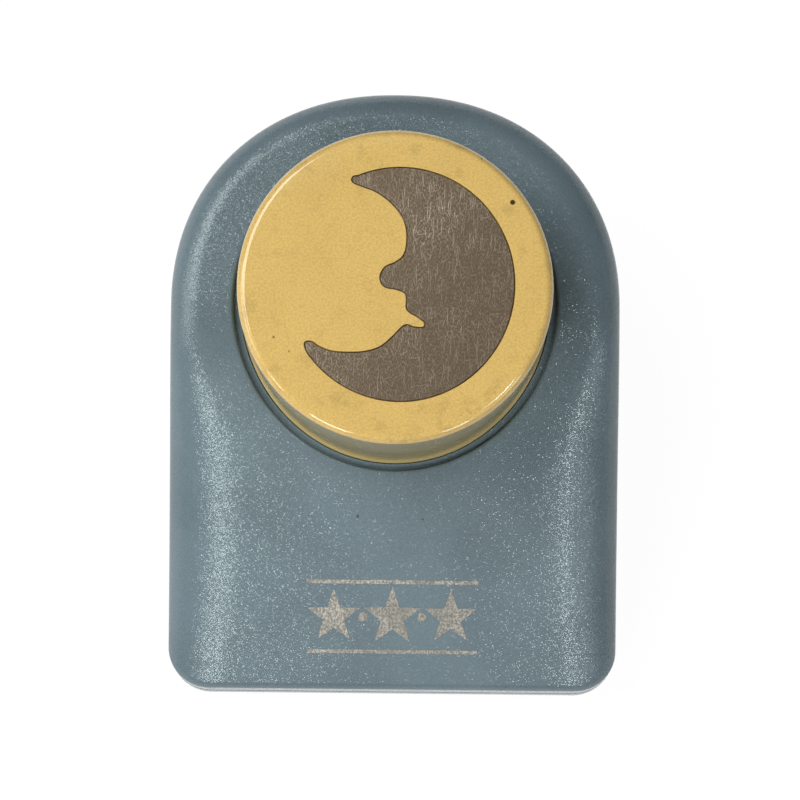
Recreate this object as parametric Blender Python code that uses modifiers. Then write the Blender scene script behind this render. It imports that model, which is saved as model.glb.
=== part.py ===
"""Moon craft punch: a press-down paper punch with a round button and a C-shaped die stack.

The straight end, where the paper goes in, faces -Y. The round end faces +Y, +Z is up and +X is
to the right. The origin is at the middle of the bounding box, on the surface the punch stands on.
All lengths are in metres.
"""

import math
from dataclasses import dataclass

import bmesh
import bpy
from mathutils import Vector

PUNCH = "moon_craft_punch"
CUTTERS = "cutters"

# Housing and base, outside, with the platform's widths measured from the well's rim
RIM_TO_SIDE = 0.0091
RIM_TO_BACK = 0.0081
RIM_TO_FRONT = 0.0260
ROUND_END_POWER = 2.16
FRONT_CORNER_RADIUS = 0.0052
SIDE_DRAFT = math.radians(3.3)
FRONT_DRAFT = math.radians(2.0)
PLATFORM_HEIGHT = 0.0335
FRONT_EDGE_HEIGHT = 0.0145
CREST_TO_AXIS = 0.0040
CREST_SOFTNESS = 0.0040
CROWN_HEIGHT = 0.0008
PLATFORM_ROUND = 0.0036
SLOPE_ROUND_WIDTH = 0.0095
SLOPE_ROUND_DROP = 0.0052
SLOPE_ROUND_START_SHARE = 0.40
FRONT_ROUND_WIDTH = 0.0080
FRONT_ROUND_DROP = 0.0040
FRONT_ROUND_START_SHARE = 0.55
FRONT_EDGE_ROUND = 0.0008
ROUNDING_LIMIT_SHARE = 0.85
HOUSING_WALL = 0.0020

# Base tray, with the chute for the cut-out pieces
TRAY_WALL = 0.0020
TRAY_FLOOR = 0.0018
TRAY_HEIGHT = 0.0060
TRAY_CHAMFER = 0.0005
TRAY_BOSS_RADIUS = 0.0040
CHUTE_CLEARANCE = 0.0019
CHUTE_COLLAR_WALL = 0.0020

# Moon motif, the same on the button, the punch and the die
MOON_HEIGHT = 0.0259
EMBLEM_THICKNESS = 0.0003
EMBLEM_CLEARANCE = 0.00015

# Round the punch, from the spring outwards to the well's rim
PUNCH_TO_SPRING = 0.00027
SPRING_WIRE = 0.0012
SPRING_TO_BUTTON = 0.00035
BUTTON_WALL = 0.00214
BUTTON_STEP = 0.00033
BUTTON_CLEARANCE = 0.0003
SLEEVE_WALL = 0.0015
RIM_LEDGE_WIDTH = 0.00066
RIM_LEDGE_DEPTH = 0.0013
RIM_CHAMFER = 0.0003

# Button
BUTTON_TRAVEL = 0.0065
BUTTON_PROUD = 0.0140
BUTTON_TOP_THICKNESS = 0.0025
BUTTON_FILLET = 0.0010
BUTTON_STEP_SINK = 0.0001
BUTTON_RIB_THICKNESS = 0.0014
BUTTON_RIB_RELIEF = 0.0010
BUTTON_HUB_RADIUS = 0.0020
BUTTON_LUG_HEIGHT = 0.0020
BUTTON_LUG_CATCH = 0.00203
BUTTON_LUG_WIDTH = 0.0060

# Steel die stack
SLOT_HEIGHT = 0.0018
DIE_THICKNESS = 0.0020
GUIDE_THICKNESS = 0.0025
GUIDE_CORNER_RADIUS = 0.0032

# Punch holder, spring and the ring under the spring
HOLDER_ABOVE_SKIRT = 0.0080
HOLDER_THICKNESS = 0.0030
HOLDER_GROOVE_DEPTH = 0.0005
SPRING_TURNS = 5.0
SPRING_FLAT_TURNS = 0.75
SPRING_COIL_GAP = 0.0005
SEAT_THICKNESS = 0.0006
SEAT_MARGIN = 0.0002

# Screws and rivets
SCREW_RADIUS = 0.0013
SCREW_POINT = 0.0010
SCREW_HEAD_RADIUS = 0.0023
SCREW_HEAD_HEIGHT = 0.0014
SCREW_HEAD_ROUND = 0.0004
SCREW_RECESS_WIDTH = 0.0006
SCREW_RECESS_LENGTH = 0.0026
SCREW_RECESS_DEPTH = 0.0007
SCREW_SINK = 0.0004
REAR_SCREW_TURN = math.radians(34.8)
REAR_SCREW_TO_SLEEVE = 0.00223
REAR_SCREW_TO_SLOT = 0.0025
REAR_SCREW_GRIP = 0.0090
GUIDE_SCREW_TO_SIDE = 0.0110
GUIDE_SCREW_TO_AXIS = 0.0220
GUIDE_SCREW_TO_EDGE = 0.0045
GUIDE_SCREW_GRIP = 0.0060
TRAY_SCREW_TO_SIDE = 0.0090
TRAY_SCREW_TO_FRONT = 0.0086
PUNCH_SCREW_GRIP = 0.0075
BOSS_RADIUS = 0.0026
BOSS_BORE_EXTRA = 0.0015
RIVET_RADIUS = 0.0012
RIVET_HEAD_RADIUS = 0.0019
RIVET_RECESS = 0.0001

# Clearances and overruns
SEAT_GAP = 0.0003
SCREW_CLEARANCE = 0.0003
DIE_CLEARANCE = 0.0003
PLATE_CLEARANCE = 0.0003
CUT_OVERRUN = 0.0010

# Moon outline, as shares of its height from the button's axis: the back is part of an ellipse
# and the face runs through these points from the upper horn to the lower one.
MOON_CENTRE_SHARES = (0.021, 0.006)
MOON_RADII_SHARES = (0.4866, 0.5024)
MOON_BACK_FROM = math.radians(115)
MOON_BACK_TO = math.radians(-143)
MOON_FACE_SHARES = (
    (-0.165, 0.447), (-0.086, 0.404), (-0.028, 0.363), (0.015, 0.316), (0.040, 0.269),
    (0.049, 0.219), (0.046, 0.161), (0.030, 0.122), (-0.004, 0.096), (-0.042, 0.078),
    (-0.063, 0.043), (-0.058, 0.009), (-0.037, -0.009), (0.002, -0.016), (0.040, -0.031),
    (0.050, -0.055), (0.049, -0.095), (0.063, -0.115), (0.096, -0.134), (0.126, -0.158),
    (0.122, -0.180), (0.084, -0.180), (0.042, -0.172), (-0.009, -0.222), (-0.057, -0.263),
    (-0.118, -0.285), (-0.190, -0.291), (-0.263, -0.287), (-0.318, -0.268), (-0.352, -0.247),
    (-0.378, -0.248), (-0.381, -0.266),
)
PUNCH_SCREW_SHARES = ((0.259, 0.193), (0.200, -0.250))
MITRE_LIMIT_SHARE = 0.5
OFFSET_SHARE = 0.95

# Counts, and the limits for welding, straightening and shading
BACK_STEPS = 32
SIDE_STEPS = 7
CORNER_STEPS = 5
FRONT_STEPS = 8
ROUND_STEPS = 5
TOP_STEPS = 3
TURN_STEPS = 64
SCREW_STEPS = 16
HOLE_STEPS = 20
FILLET_STEPS = 4
MOON_ARC_STEPS = 30
MOON_CURVE_STEPS = 2
SPRING_STEPS = 14
WELD_DISTANCE = 0.00001
STRAIGHT_SHARE = 0.001
SHARP_ANGLE = math.radians(35)

# Radii, from the moon outwards
MOON_REACH = MOON_HEIGHT * (math.hypot(*MOON_CENTRE_SHARES) + max(MOON_RADII_SHARES))
SPRING_RADIUS = MOON_REACH + PUNCH_TO_SPRING + SPRING_WIRE / 2
SEAT_INNER_RADIUS = SPRING_RADIUS - SPRING_WIRE / 2 - SEAT_MARGIN
SEAT_OUTER_RADIUS = SPRING_RADIUS + SPRING_WIRE / 2 + SEAT_MARGIN
BUTTON_INNER = SPRING_RADIUS + SPRING_WIRE / 2 + SPRING_TO_BUTTON
BUTTON_RADIUS = BUTTON_INNER + BUTTON_WALL
HOLDER_RADIUS = BUTTON_INNER + HOLDER_GROOVE_DEPTH - SEAT_GAP
BARREL_RADIUS = BUTTON_RADIUS + BUTTON_STEP
SLEEVE_RADIUS = BARREL_RADIUS + BUTTON_CLEARANCE
RIM_RADIUS = SLEEVE_RADIUS + RIM_LEDGE_WIDTH
BUTTON_LUG_RADIUS = SLEEVE_RADIUS + BUTTON_LUG_CATCH
CHUTE_RADIUS = MOON_REACH + CHUTE_CLEARANCE

# Outside of the body, measured from the button's axis
BASE_WIDTH = 2 * (RIM_RADIUS + RIM_TO_SIDE)
AXIS_TO_BACK = RIM_RADIUS + RIM_TO_BACK
AXIS_TO_FRONT = RIM_RADIUS + RIM_TO_FRONT
AXIS_Y = (AXIS_TO_FRONT - AXIS_TO_BACK) / 2
FRONT_TOP = AXIS_TO_FRONT - FRONT_EDGE_HEIGHT * math.tan(FRONT_DRAFT)
SLOPE = (PLATFORM_HEIGHT - FRONT_EDGE_HEIGHT) / (FRONT_TOP - CREST_TO_AXIS)

# Heights, from the tray upwards
DIE_BOTTOM = TRAY_HEIGHT - DIE_THICKNESS
LEDGE_TOP = DIE_BOTTOM - SEAT_GAP
GUIDE_BOTTOM = TRAY_HEIGHT + SLOT_HEIGHT
GUIDE_TOP = GUIDE_BOTTOM + GUIDE_THICKNESS
BOSS_BOTTOM = GUIDE_TOP + SEAT_GAP
SEAT_BOTTOM = GUIDE_TOP + SEAT_GAP
SPRING_BOTTOM = SEAT_BOTTOM + SEAT_THICKNESS + SEAT_GAP
SKIRT_BOTTOM = SPRING_BOTTOM + BUTTON_TRAVEL
LUG_TOP = SKIRT_BOTTOM + BUTTON_LUG_HEIGHT
SLEEVE_BOTTOM = LUG_TOP + SEAT_GAP
HOLDER_BOTTOM = SKIRT_BOTTOM + HOLDER_ABOVE_SKIRT
HOLDER_TOP = HOLDER_BOTTOM + HOLDER_THICKNESS
SPRING_TOP = HOLDER_BOTTOM - SEAT_GAP
PUNCH_BOTTOM = GUIDE_BOTTOM + SEAT_GAP
PUNCH_TOP = HOLDER_BOTTOM - SEAT_GAP
BUTTON_TOP = PLATFORM_HEIGHT + BUTTON_PROUD
BUTTON_CEILING = BUTTON_TOP - BUTTON_TOP_THICKNESS

# Places of the screws and rivets, measured from the button's axis
PLATE_INSET = TRAY_WALL + PLATE_CLEARANCE
HOLE_RADIUS = SCREW_RADIUS + SCREW_CLEARANCE
SUNK_HEAD_HEIGHT = SCREW_HEAD_RADIUS - SCREW_RADIUS
REAR_SCREW_REACH = SLEEVE_RADIUS + SLEEVE_WALL + REAR_SCREW_TO_SLEEVE
REAR_SCREW_X = REAR_SCREW_REACH * math.sin(REAR_SCREW_TURN)
REAR_SCREW_BACK = REAR_SCREW_REACH * math.cos(REAR_SCREW_TURN)
SLOT_THROAT = REAR_SCREW_BACK - REAR_SCREW_TO_SLOT
GUIDE_SCREW_X = BASE_WIDTH / 2 - GUIDE_SCREW_TO_SIDE
GUIDE_FRONT = GUIDE_SCREW_TO_AXIS + GUIDE_SCREW_TO_EDGE
TRAY_SCREW_X = BASE_WIDTH / 2 - TRAY_SCREW_TO_SIDE
TRAY_SCREW_FRONT = AXIS_TO_FRONT - TRAY_SCREW_TO_FRONT
RIVET_X = REAR_SCREW_X / 2
RIVET_BACK = (SLOT_THROAT + AXIS_TO_BACK - PLATE_INSET) / 2


@dataclass(frozen=True)
class Finish:
    """Colour and surface values of one material."""

    colour: tuple
    roughness: float
    metallic: float


BLUE_PLASTIC = Finish((0.165, 0.223, 0.250), 0.55, 0.0)
CREAM_PLASTIC = Finish((0.776, 0.533, 0.165), 0.25, 0.0)
BROWN_FOIL = Finish((0.156, 0.117, 0.098), 0.40, 0.8)
DIE_STEEL = Finish((0.420, 0.430, 0.440), 0.35, 1.0)
PUNCH_STEEL = Finish((0.500, 0.500, 0.490), 0.28, 1.0)
SPRING_STEEL = Finish((0.560, 0.560, 0.550), 0.25, 1.0)
ZINC = Finish((0.580, 0.590, 0.600), 0.45, 1.0)


def clear_scene():
    """Removes what the scene holds at the start."""
    for existing in list(bpy.data.objects):
        bpy.data.objects.remove(existing)
    for existing in list(bpy.data.collections):
        bpy.data.collections.remove(existing)


def make_collection(name):
    """Makes a collection in the scene."""
    bpy.context.scene.collection.children.link(bpy.data.collections.new(name))


def make_material(name, finish):
    """Makes a Principled material of one finish."""
    material = bpy.data.materials.new(name)
    material.use_nodes = True
    shader = material.node_tree.nodes["Principled BSDF"]
    shader.inputs["Base Color"].default_value = (*finish.colour, 1.0)
    shader.inputs["Roughness"].default_value = finish.roughness
    shader.inputs["Metallic"].default_value = finish.metallic
    return material


def add_object(name, data, finish):
    """Puts data in the punch's collection as one piece with its own material."""
    piece = bpy.data.objects.new(name, data)
    if finish:
        data.materials.append(make_material(name, finish))
    bpy.data.collections[PUNCH].objects.link(piece)
    return piece


def hide_cutter(helper):
    """Moves a helper to the cutters' collection, out of the render."""
    for collection in list(helper.users_collection):
        collection.objects.unlink(helper)
    bpy.data.collections[CUTTERS].objects.link(helper)
    helper.hide_render = True
    helper.display_type = "WIRE"


def combine(piece, helper, operation, solver="EXACT"):
    """Cuts a helper from a piece, or joins it on, with a Boolean."""
    hide_cutter(helper)
    modifier = piece.modifiers.new(helper.name, "BOOLEAN")
    modifier.operation = operation
    modifier.solver = solver
    modifier.object = helper


def as_mesh(piece):
    """Turns a curve, or an object with modifiers, into a plain mesh object."""
    bpy.context.view_layer.update()
    graph = bpy.context.evaluated_depsgraph_get()
    mesh = bpy.data.meshes.new_from_object(piece.evaluated_get(graph))
    weld(mesh)
    name, matrix = piece.name, piece.matrix_world.copy()
    collections = list(piece.users_collection)
    bpy.data.objects.remove(piece)
    made = bpy.data.objects.new(name, mesh)
    made.matrix_world = matrix
    for collection in collections:
        collection.objects.link(made)
    return made


def weld(mesh):
    """Joins doubled points and turns the faces outwards."""
    shape = bmesh.new()
    shape.from_mesh(mesh)
    bmesh.ops.remove_doubles(shape, verts=shape.verts, dist=WELD_DISTANCE)
    bmesh.ops.recalc_face_normals(shape, faces=shape.faces)
    shape.to_mesh(mesh)
    shape.free()


def loft(name, rings, finish):
    """Closes a loop of rings, each with as many points, into one solid like a bent tube."""
    mesh = bpy.data.meshes.new(name)
    shape = bmesh.new()
    rows = [[shape.verts.new(point) for point in ring] for ring in rings]
    for row, after in zip(rows, rows[1:] + rows[:1]):
        for i in range(len(row)):
            j = (i + 1) % len(row)
            shape.faces.new((row[i], row[j], after[j], after[i]))
    bmesh.ops.recalc_face_normals(shape, faces=shape.faces)
    shape.to_mesh(mesh)
    shape.free()
    return add_object(name, mesh, finish)


def without_straight_points(line):
    """Leaves out the points of an outline where it runs straight on."""
    kept = []
    for i, point in enumerate(line):
        before, after = Vector(line[i - 1]), Vector(line[(i + 1) % len(line)])
        arriving, leaving = Vector(point) - before, after - Vector(point)
        if abs(arriving.cross(leaving)) > STRAIGHT_SHARE * arriving.length * leaving.length:
            kept.append(point)
    return kept


def plate(name, outlines, bottom, top, finish):
    """Makes a flat plate from closed outlines, the first outside and the others holes."""
    curve = bpy.data.curves.new(name, "CURVE")
    curve.dimensions = "2D"
    curve.fill_mode = "BOTH"
    curve.extrude = (top - bottom) / 2
    for line in outlines:
        corners = without_straight_points(line)
        spline = curve.splines.new("POLY")
        spline.points.add(len(corners) - 1)
        for point, (x, y) in zip(spline.points, corners):
            point.co = (x, y, 0, 1)
        spline.use_cyclic_u = True
    piece = add_object(name, curve, finish)
    piece.location = (0, AXIS_Y, (bottom + top) / 2)
    return piece


def turned(name, profile, finish, steps=TURN_STEPS):
    """Turns a closed profile of (radius, height) points round the button's axis."""
    mesh = bpy.data.meshes.new(name)
    edges = [(i, i + 1) for i in range(len(profile) - 1)]
    if profile[0][0] > 0:
        edges.append((len(profile) - 1, 0))
    mesh.from_pydata([(radius, 0, height) for radius, height in profile], edges, [])
    piece = add_object(name, mesh, finish)
    screw = piece.modifiers.new("turn", "SCREW")
    screw.steps = screw.render_steps = steps
    screw.use_merge_vertices = True
    screw.merge_threshold = WELD_DISTANCE
    piece.location = (0, AXIS_Y, 0)
    return piece


def cylinder(name, radius, bottom, top, x, y, fan_caps=False):
    """Makes an upright cylinder at a place measured from the button's axis."""
    mesh = bpy.data.meshes.new(name)
    shape = bmesh.new()
    bmesh.ops.create_cone(
        shape,
        cap_ends=True,
        cap_tris=fan_caps,
        segments=HOLE_STEPS,
        radius1=radius,
        radius2=radius,
        depth=top - bottom,
    )
    shape.to_mesh(mesh)
    shape.free()
    piece = add_object(name, mesh, None)
    piece.location = (x, AXIS_Y + y, (bottom + top) / 2)
    return piece


def box(name, low, high):
    """Makes a box between two corners, measured from the button's axis."""
    mesh = bpy.data.meshes.new(name)
    shape = bmesh.new()
    bmesh.ops.create_cube(shape, size=1)
    for vertex in shape.verts:
        vertex.co = [
            (a + b) / 2 + share * (b - a) for a, b, share in zip(low, high, vertex.co)
        ]
    shape.to_mesh(mesh)
    shape.free()
    piece = add_object(name, mesh, None)
    piece.location = (0, AXIS_Y, 0)
    return piece


def smooth_step(value):
    """Eases from 0 to 1."""
    share = min(max(value, 0), 1)
    return share * share * (3 - 2 * share)


def mix(first, second, share):
    """Goes from the first value to the second."""
    return first + (second - first) * share


def slope_run(y):
    """Gives how far y lies down the slope in front of the crest, eased at the crest."""
    run = -CREST_TO_AXIS - y
    return (run + math.hypot(run, CREST_SOFTNESS)) / 2


def slope_share(y):
    """Gives 0 on the platform and 1 at the front edge."""
    return slope_run(y) / (FRONT_TOP - CREST_TO_AXIS)


def side_round(y):
    """Gives the width and the drop of the rounding along the sides."""
    onto_slope = smooth_step(slope_share(y) / SLOPE_ROUND_START_SHARE)
    to_front = smooth_step((slope_share(y) - FRONT_ROUND_START_SHARE) / (1 - FRONT_ROUND_START_SHARE))
    width = mix(mix(PLATFORM_ROUND, SLOPE_ROUND_WIDTH, onto_slope), FRONT_ROUND_WIDTH, to_front)
    drop = mix(mix(PLATFORM_ROUND, SLOPE_ROUND_DROP, onto_slope), FRONT_ROUND_DROP, to_front)
    return width, drop


def rounded_drop(inset, width, drop):
    """Gives how far an elliptical rounding falls at an inset from its edge."""
    if inset >= width:
        return 0
    share = 1 - max(inset, 0) / width
    return drop * (1 - math.sqrt(max(1 - share * share, 0)))


def edge_height(y):
    """Gives the height where the side wall meets the rounding."""
    crown = CROWN_HEIGHT * smooth_step(slope_share(y))
    return PLATFORM_HEIGHT - SLOPE * slope_run(y) - crown - side_round(y)[1]


def half_width(y, height=None):
    """Gives the side wall's distance from the middle at a height, or at the rounding."""
    level = edge_height(y) if height is None else height
    return BASE_WIDTH / 2 - level * math.tan(SIDE_DRAFT)


def back_depth(height):
    """Gives the round end's distance from the button's axis at a height."""
    return AXIS_TO_BACK - height * math.tan(SIDE_DRAFT)


def side_inset(x, y):
    """Gives how far a place lies inside the side wall or the round end."""
    if y < 0:
        return half_width(y) - abs(x)
    reach = math.hypot(x, y)
    across = abs(x) / half_width(0)
    along = y / back_depth(edge_height(0))
    level = (across**ROUND_END_POWER + along**ROUND_END_POWER) ** (1 / ROUND_END_POWER)
    return reach / level - reach if level > 0 else back_depth(edge_height(0))


def front_edge_drop(x, y):
    """Gives the fall of the small rounding along the front edge and its two corners."""
    corner_x = abs(x) - half_width(y) + FRONT_CORNER_RADIUS
    corner_y = -y - FRONT_TOP + FRONT_CORNER_RADIUS
    if corner_y <= 0:
        return 0
    if corner_x <= 0:
        return rounded_drop(FRONT_CORNER_RADIUS - corner_y, FRONT_EDGE_ROUND, FRONT_EDGE_ROUND)
    reach = math.hypot(corner_x, corner_y)
    fall = rounded_drop(FRONT_CORNER_RADIUS - reach, FRONT_EDGE_ROUND, FRONT_EDGE_ROUND)
    return fall * (corner_y / reach) ** 2


def top_height(x, y):
    """Gives the height of the housing's outer top above a place measured from the axis."""
    width, drop = side_round(y)
    crown = CROWN_HEIGHT * smooth_step(slope_share(y)) * (x / half_width(y)) ** 2
    level = PLATFORM_HEIGHT - SLOPE * slope_run(y) - crown
    return level - rounded_drop(side_inset(x, y), width, drop) - front_edge_drop(x, y)


def outline(height=None, inset=0, front=None, corner=FRONT_CORNER_RADIUS):
    """Gives the U-shaped outline at a height, or along the rounding, moved in by an inset."""
    level = edge_height(0) if height is None else height
    back = back_depth(level) - inset
    if front is None:
        front = FRONT_TOP if height is None else AXIS_TO_FRONT - height * math.tan(FRONT_DRAFT)
    front -= inset
    corner = max(corner - inset, FRONT_EDGE_ROUND)
    points = []
    for i in range(BACK_STEPS + 1):
        turn = math.pi * i / BACK_STEPS
        x = abs(math.cos(turn)) ** (2 / ROUND_END_POWER) * (half_width(0, height) - inset)
        y = math.sin(turn) ** (2 / ROUND_END_POWER) * back if i % BACK_STEPS else 0
        points.append((math.copysign(x, math.cos(turn)), y))
    side = [(corner - front) * i / SIDE_STEPS for i in range(1, SIDE_STEPS)]
    left = [(-half_width(y, height) + inset, y) for y in side]
    for i in range(CORNER_STEPS + 1):
        turn = math.pi / 2 * i / CORNER_STEPS
        y = corner - front - corner * math.sin(turn)
        left.append((-half_width(y, height) + inset + corner * (1 - math.cos(turn)), y))
    end_x = left[-1][0]
    across = [(mix(end_x, -end_x, i / FRONT_STEPS), -front) for i in range(1, FRONT_STEPS)]
    return points + left + across + [(-x, y) for x, y in reversed(left)]


def circle(radius, x=0, y=0, steps=HOLE_STEPS):
    """Gives a round outline."""
    turns = [2 * math.pi * i / steps for i in range(steps)]
    return [(x + radius * math.cos(turn), y + radius * math.sin(turn)) for turn in turns]


def ring_at(radius, around):
    """Gives a circle about the axis with its points on the rays of another outline."""
    return [(x * radius / math.hypot(x, y), y * radius / math.hypot(x, y)) for x, y in around]


def lifted(points, height):
    """Places an outline in the model, at one height or at a height for each point."""
    heights = height if isinstance(height, list) else [height] * len(points)
    return [(x, AXIS_Y + y, z) for (x, y), z in zip(points, heights)]


def over_top(points, below=0):
    """Places an outline on the housing's top, or at a depth below it."""
    return lifted(points, [top_height(x, y) - below for x, y in points])


def rays(start, end, share):
    """Gives the outline at a share of the way from one outline to another."""
    return [(mix(a, c, share), mix(b, d, share)) for (a, b), (c, d) in zip(start, end)]


def rounding_share(x, y):
    """Gives the share of the way to the rim at which the edge's rounding ends."""
    reach = math.hypot(x, y)
    corner = max(-y - FRONT_TOP + FRONT_CORNER_RADIUS, 0) / FRONT_CORNER_RADIUS
    across = side_round(y)[0] * reach / max(abs(x), FRONT_CORNER_RADIUS) if y < 0 else PLATFORM_ROUND
    along = FRONT_EDGE_ROUND * reach / max(-y, FRONT_EDGE_ROUND)
    width = mix(across, along, smooth_step(corner))
    return min(width / (reach - RIM_RADIUS), ROUNDING_LIMIT_SHARE)


def top_rings():
    """Gives the rings over the housing's top, from the outer wall to the well's rim."""
    edge = outline()
    rim = ring_at(RIM_RADIUS + RIM_CHAMFER, edge)
    ends = [rounding_share(x, y) for x, y in edge]
    shares = [
        [end * (1 - math.cos(math.pi / 2 * i / ROUND_STEPS)) for end in ends]
        for i in range(ROUND_STEPS + 1)
    ]
    shares += [[mix(end, 1, i / TOP_STEPS) for end in ends] for i in range(1, TOP_STEPS + 1)]
    rings = []
    for row in shares:
        points = [
            (mix(a, c, share), mix(b, d, share))
            for (a, b), (c, d), share in zip(edge, rim, row)
        ]
        rings.append(over_top(points))
    return rings


def make_housing():
    """Makes the upper housing: a drafted wall, the sloped top and the well with its sleeve."""
    foot = outline(TRAY_HEIGHT + SEAT_GAP)
    edge = outline()
    inner_edge = outline(inset=HOUSING_WALL)
    inner_foot = outline(TRAY_HEIGHT + SEAT_GAP, HOUSING_WALL)
    sleeve = ring_at(SLEEVE_RADIUS + SLEEVE_WALL, edge)
    bore = ring_at(SLEEVE_RADIUS, edge)
    rim = ring_at(RIM_RADIUS, edge)
    rings = [lifted(foot, TRAY_HEIGHT + SEAT_GAP)]
    rings += top_rings()
    rings += [over_top(rim, RIM_CHAMFER), over_top(rim, RIM_LEDGE_DEPTH)]
    rings += [over_top(bore, RIM_LEDGE_DEPTH), lifted(bore, SLEEVE_BOTTOM)]
    rings += [lifted(sleeve, SLEEVE_BOTTOM)]
    rings += [
        over_top(rays(sleeve, inner_edge, i / TOP_STEPS), HOUSING_WALL)
        for i in range(TOP_STEPS + 1)
    ]
    rings += [lifted(inner_foot, TRAY_HEIGHT + SEAT_GAP)]
    housing = loft("housing_shell", rings, BLUE_PLASTIC)
    for x, y, grip in boss_places():
        combine(housing, make_boss(x, y), "UNION")
        bore_top = BOSS_BOTTOM + grip + BOSS_BORE_EXTRA
        bore_cut = cylinder("boss_bore", HOLE_RADIUS, BOSS_BOTTOM - CUT_OVERRUN, bore_top, x, y)
        combine(housing, bore_cut, "DIFFERENCE")
    side = BASE_WIDTH / 2 + CUT_OVERRUN
    slot = box(
        "paper_slot",
        (-side, -AXIS_TO_FRONT - CUT_OVERRUN, TRAY_HEIGHT - CUT_OVERRUN),
        (side, SLOT_THROAT, GUIDE_BOTTOM),
    )
    combine(housing, slot, "DIFFERENCE")


def make_boss(x, y):
    """Makes a screw boss whose upper end follows the housing's top, half-way in its wall."""
    boss = cylinder("boss", BOSS_RADIUS, BOSS_BOTTOM, PLATFORM_HEIGHT, x, y, fan_caps=True)
    for vertex in boss.data.vertices:
        if vertex.co.z > 0:
            level = top_height(x + vertex.co.x, y + vertex.co.y) - HOUSING_WALL / 2
            vertex.co.z = level - boss.location.z
    return boss


def boss_places():
    """Gives the place and screw grip of each boss under the housing's top."""
    for side in (-1, 1):
        yield side * REAR_SCREW_X, REAR_SCREW_BACK, REAR_SCREW_GRIP
        yield side * GUIDE_SCREW_X, -GUIDE_SCREW_TO_AXIS, GUIDE_SCREW_GRIP


def make_tray():
    """Makes the base tray, with its chute, the collar round it and the screw bosses."""
    chute = ring_at(CHUTE_RADIUS, outline(0))
    collar = ring_at(CHUTE_RADIUS + CHUTE_COLLAR_WALL, outline(0))
    rings = [
        lifted(outline(0, TRAY_CHAMFER), 0),
        lifted(outline(TRAY_CHAMFER), TRAY_CHAMFER),
        lifted(outline(TRAY_HEIGHT), TRAY_HEIGHT),
        lifted(outline(TRAY_HEIGHT, TRAY_WALL), TRAY_HEIGHT),
        lifted(outline(TRAY_FLOOR, TRAY_WALL), TRAY_FLOOR),
        lifted(collar, TRAY_FLOOR),
        lifted(collar, LEDGE_TOP),
        lifted(chute, LEDGE_TOP),
        lifted(chute, 0),
    ]
    tray = loft("base_tray", rings, BLUE_PLASTIC)
    for x, y in tray_screw_places():
        boss = cylinder("tray_boss", TRAY_BOSS_RADIUS, TRAY_FLOOR / 2, LEDGE_TOP, x, y)
        combine(tray, boss, "UNION")
        hole = cylinder("tray_hole", HOLE_RADIUS, -CUT_OVERRUN, DIE_BOTTOM, x, y)
        combine(tray, hole, "DIFFERENCE")
        sink_radius = SCREW_HEAD_RADIUS + SCREW_CLEARANCE
        sink_top = SCREW_SINK + SCREW_HEAD_HEIGHT + SEAT_GAP
        sink = cylinder("tray_sink", sink_radius, -CUT_OVERRUN, sink_top, x, y)
        combine(tray, sink, "DIFFERENCE")


def tray_screw_places():
    """Gives the places of the four screws that come up through the tray."""
    for side in (-1, 1):
        yield side * REAR_SCREW_X, REAR_SCREW_BACK
        yield side * TRAY_SCREW_X, -TRAY_SCREW_FRONT


def rivet_places():
    """Gives the places of the row of rivets behind the paper slot."""
    for side in (-1, 0, 1):
        yield side * RIVET_X, RIVET_BACK


def moon_outline(grow=0):
    """Gives the moon's outline, moved outwards by a clearance."""
    centre, radii = Vector(MOON_CENTRE_SHARES), Vector(MOON_RADII_SHARES)
    back = []
    for i in range(MOON_ARC_STEPS + 1):
        turn = mix(MOON_BACK_TO, MOON_BACK_FROM, i / MOON_ARC_STEPS)
        back.append(centre + Vector((radii.x * math.cos(turn), radii.y * math.sin(turn))))
    knots = [back[-1]] + [Vector(share) for share in MOON_FACE_SHARES] + [back[0]]
    points = [point * MOON_HEIGHT for point in back[:-1] + smooth_curve(knots)[:-1]]
    if not grow:
        return [(point.x, point.y) for point in points]
    moved = []
    for i, point in enumerate(points):
        before = (point - points[i - 1]).normalized()
        after = (points[(i + 1) % len(points)] - point).normalized()
        outwards = Vector((before.y + after.y, -before.x - after.x)).normalized()
        spread = max(outwards.dot(Vector((before.y, -before.x))), MITRE_LIMIT_SHARE)
        place = point + outwards * grow / spread
        if distance_to(points, place) > grow * OFFSET_SHARE:
            moved.append((place.x, place.y))
    return moved


def distance_to(points, place):
    """Gives the least distance from a place to a closed outline."""
    least = math.inf
    for start, end in zip(points, points[1:] + points[:1]):
        along = end - start
        share = min(max((place - start).dot(along) / along.length_squared, 0), 1)
        least = min(least, (place - start - along * share).length)
    return least


def smooth_curve(knots):
    """Gives a smooth line through the knots, without overshoot at the first and the last."""
    points = []
    for i in range(len(knots) - 1):
        before, after = knots[max(i - 1, 0)], knots[min(i + 2, len(knots) - 1)]
        start, end = knots[i], knots[i + 1]
        for step in range(MOON_CURVE_STEPS):
            t = step / MOON_CURVE_STEPS
            points.append(
                (
                    2 * start
                    + (end - before) * t
                    + (2 * before - 5 * start + 4 * end - after) * t**2
                    + (3 * start - before - 3 * end + after) * t**3
                )
                / 2
            )
    return points + [knots[-1]]


def rear_outline():
    """Gives the outline of the spacer: the round end behind the paper slot."""
    inner = outline(TRAY_HEIGHT, PLATE_INSET)[: BACK_STEPS + 1]
    behind = [(x, y) for x, y in inner if y > SLOT_THROAT]
    back = back_depth(TRAY_HEIGHT) - PLATE_INSET
    side = half_width(0, TRAY_HEIGHT) - PLATE_INSET
    end = side * (1 - (SLOT_THROAT / back) ** ROUND_END_POWER) ** (1 / ROUND_END_POWER)
    return [(end, SLOT_THROAT)] + behind + [(-end, SLOT_THROAT)]


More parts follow.
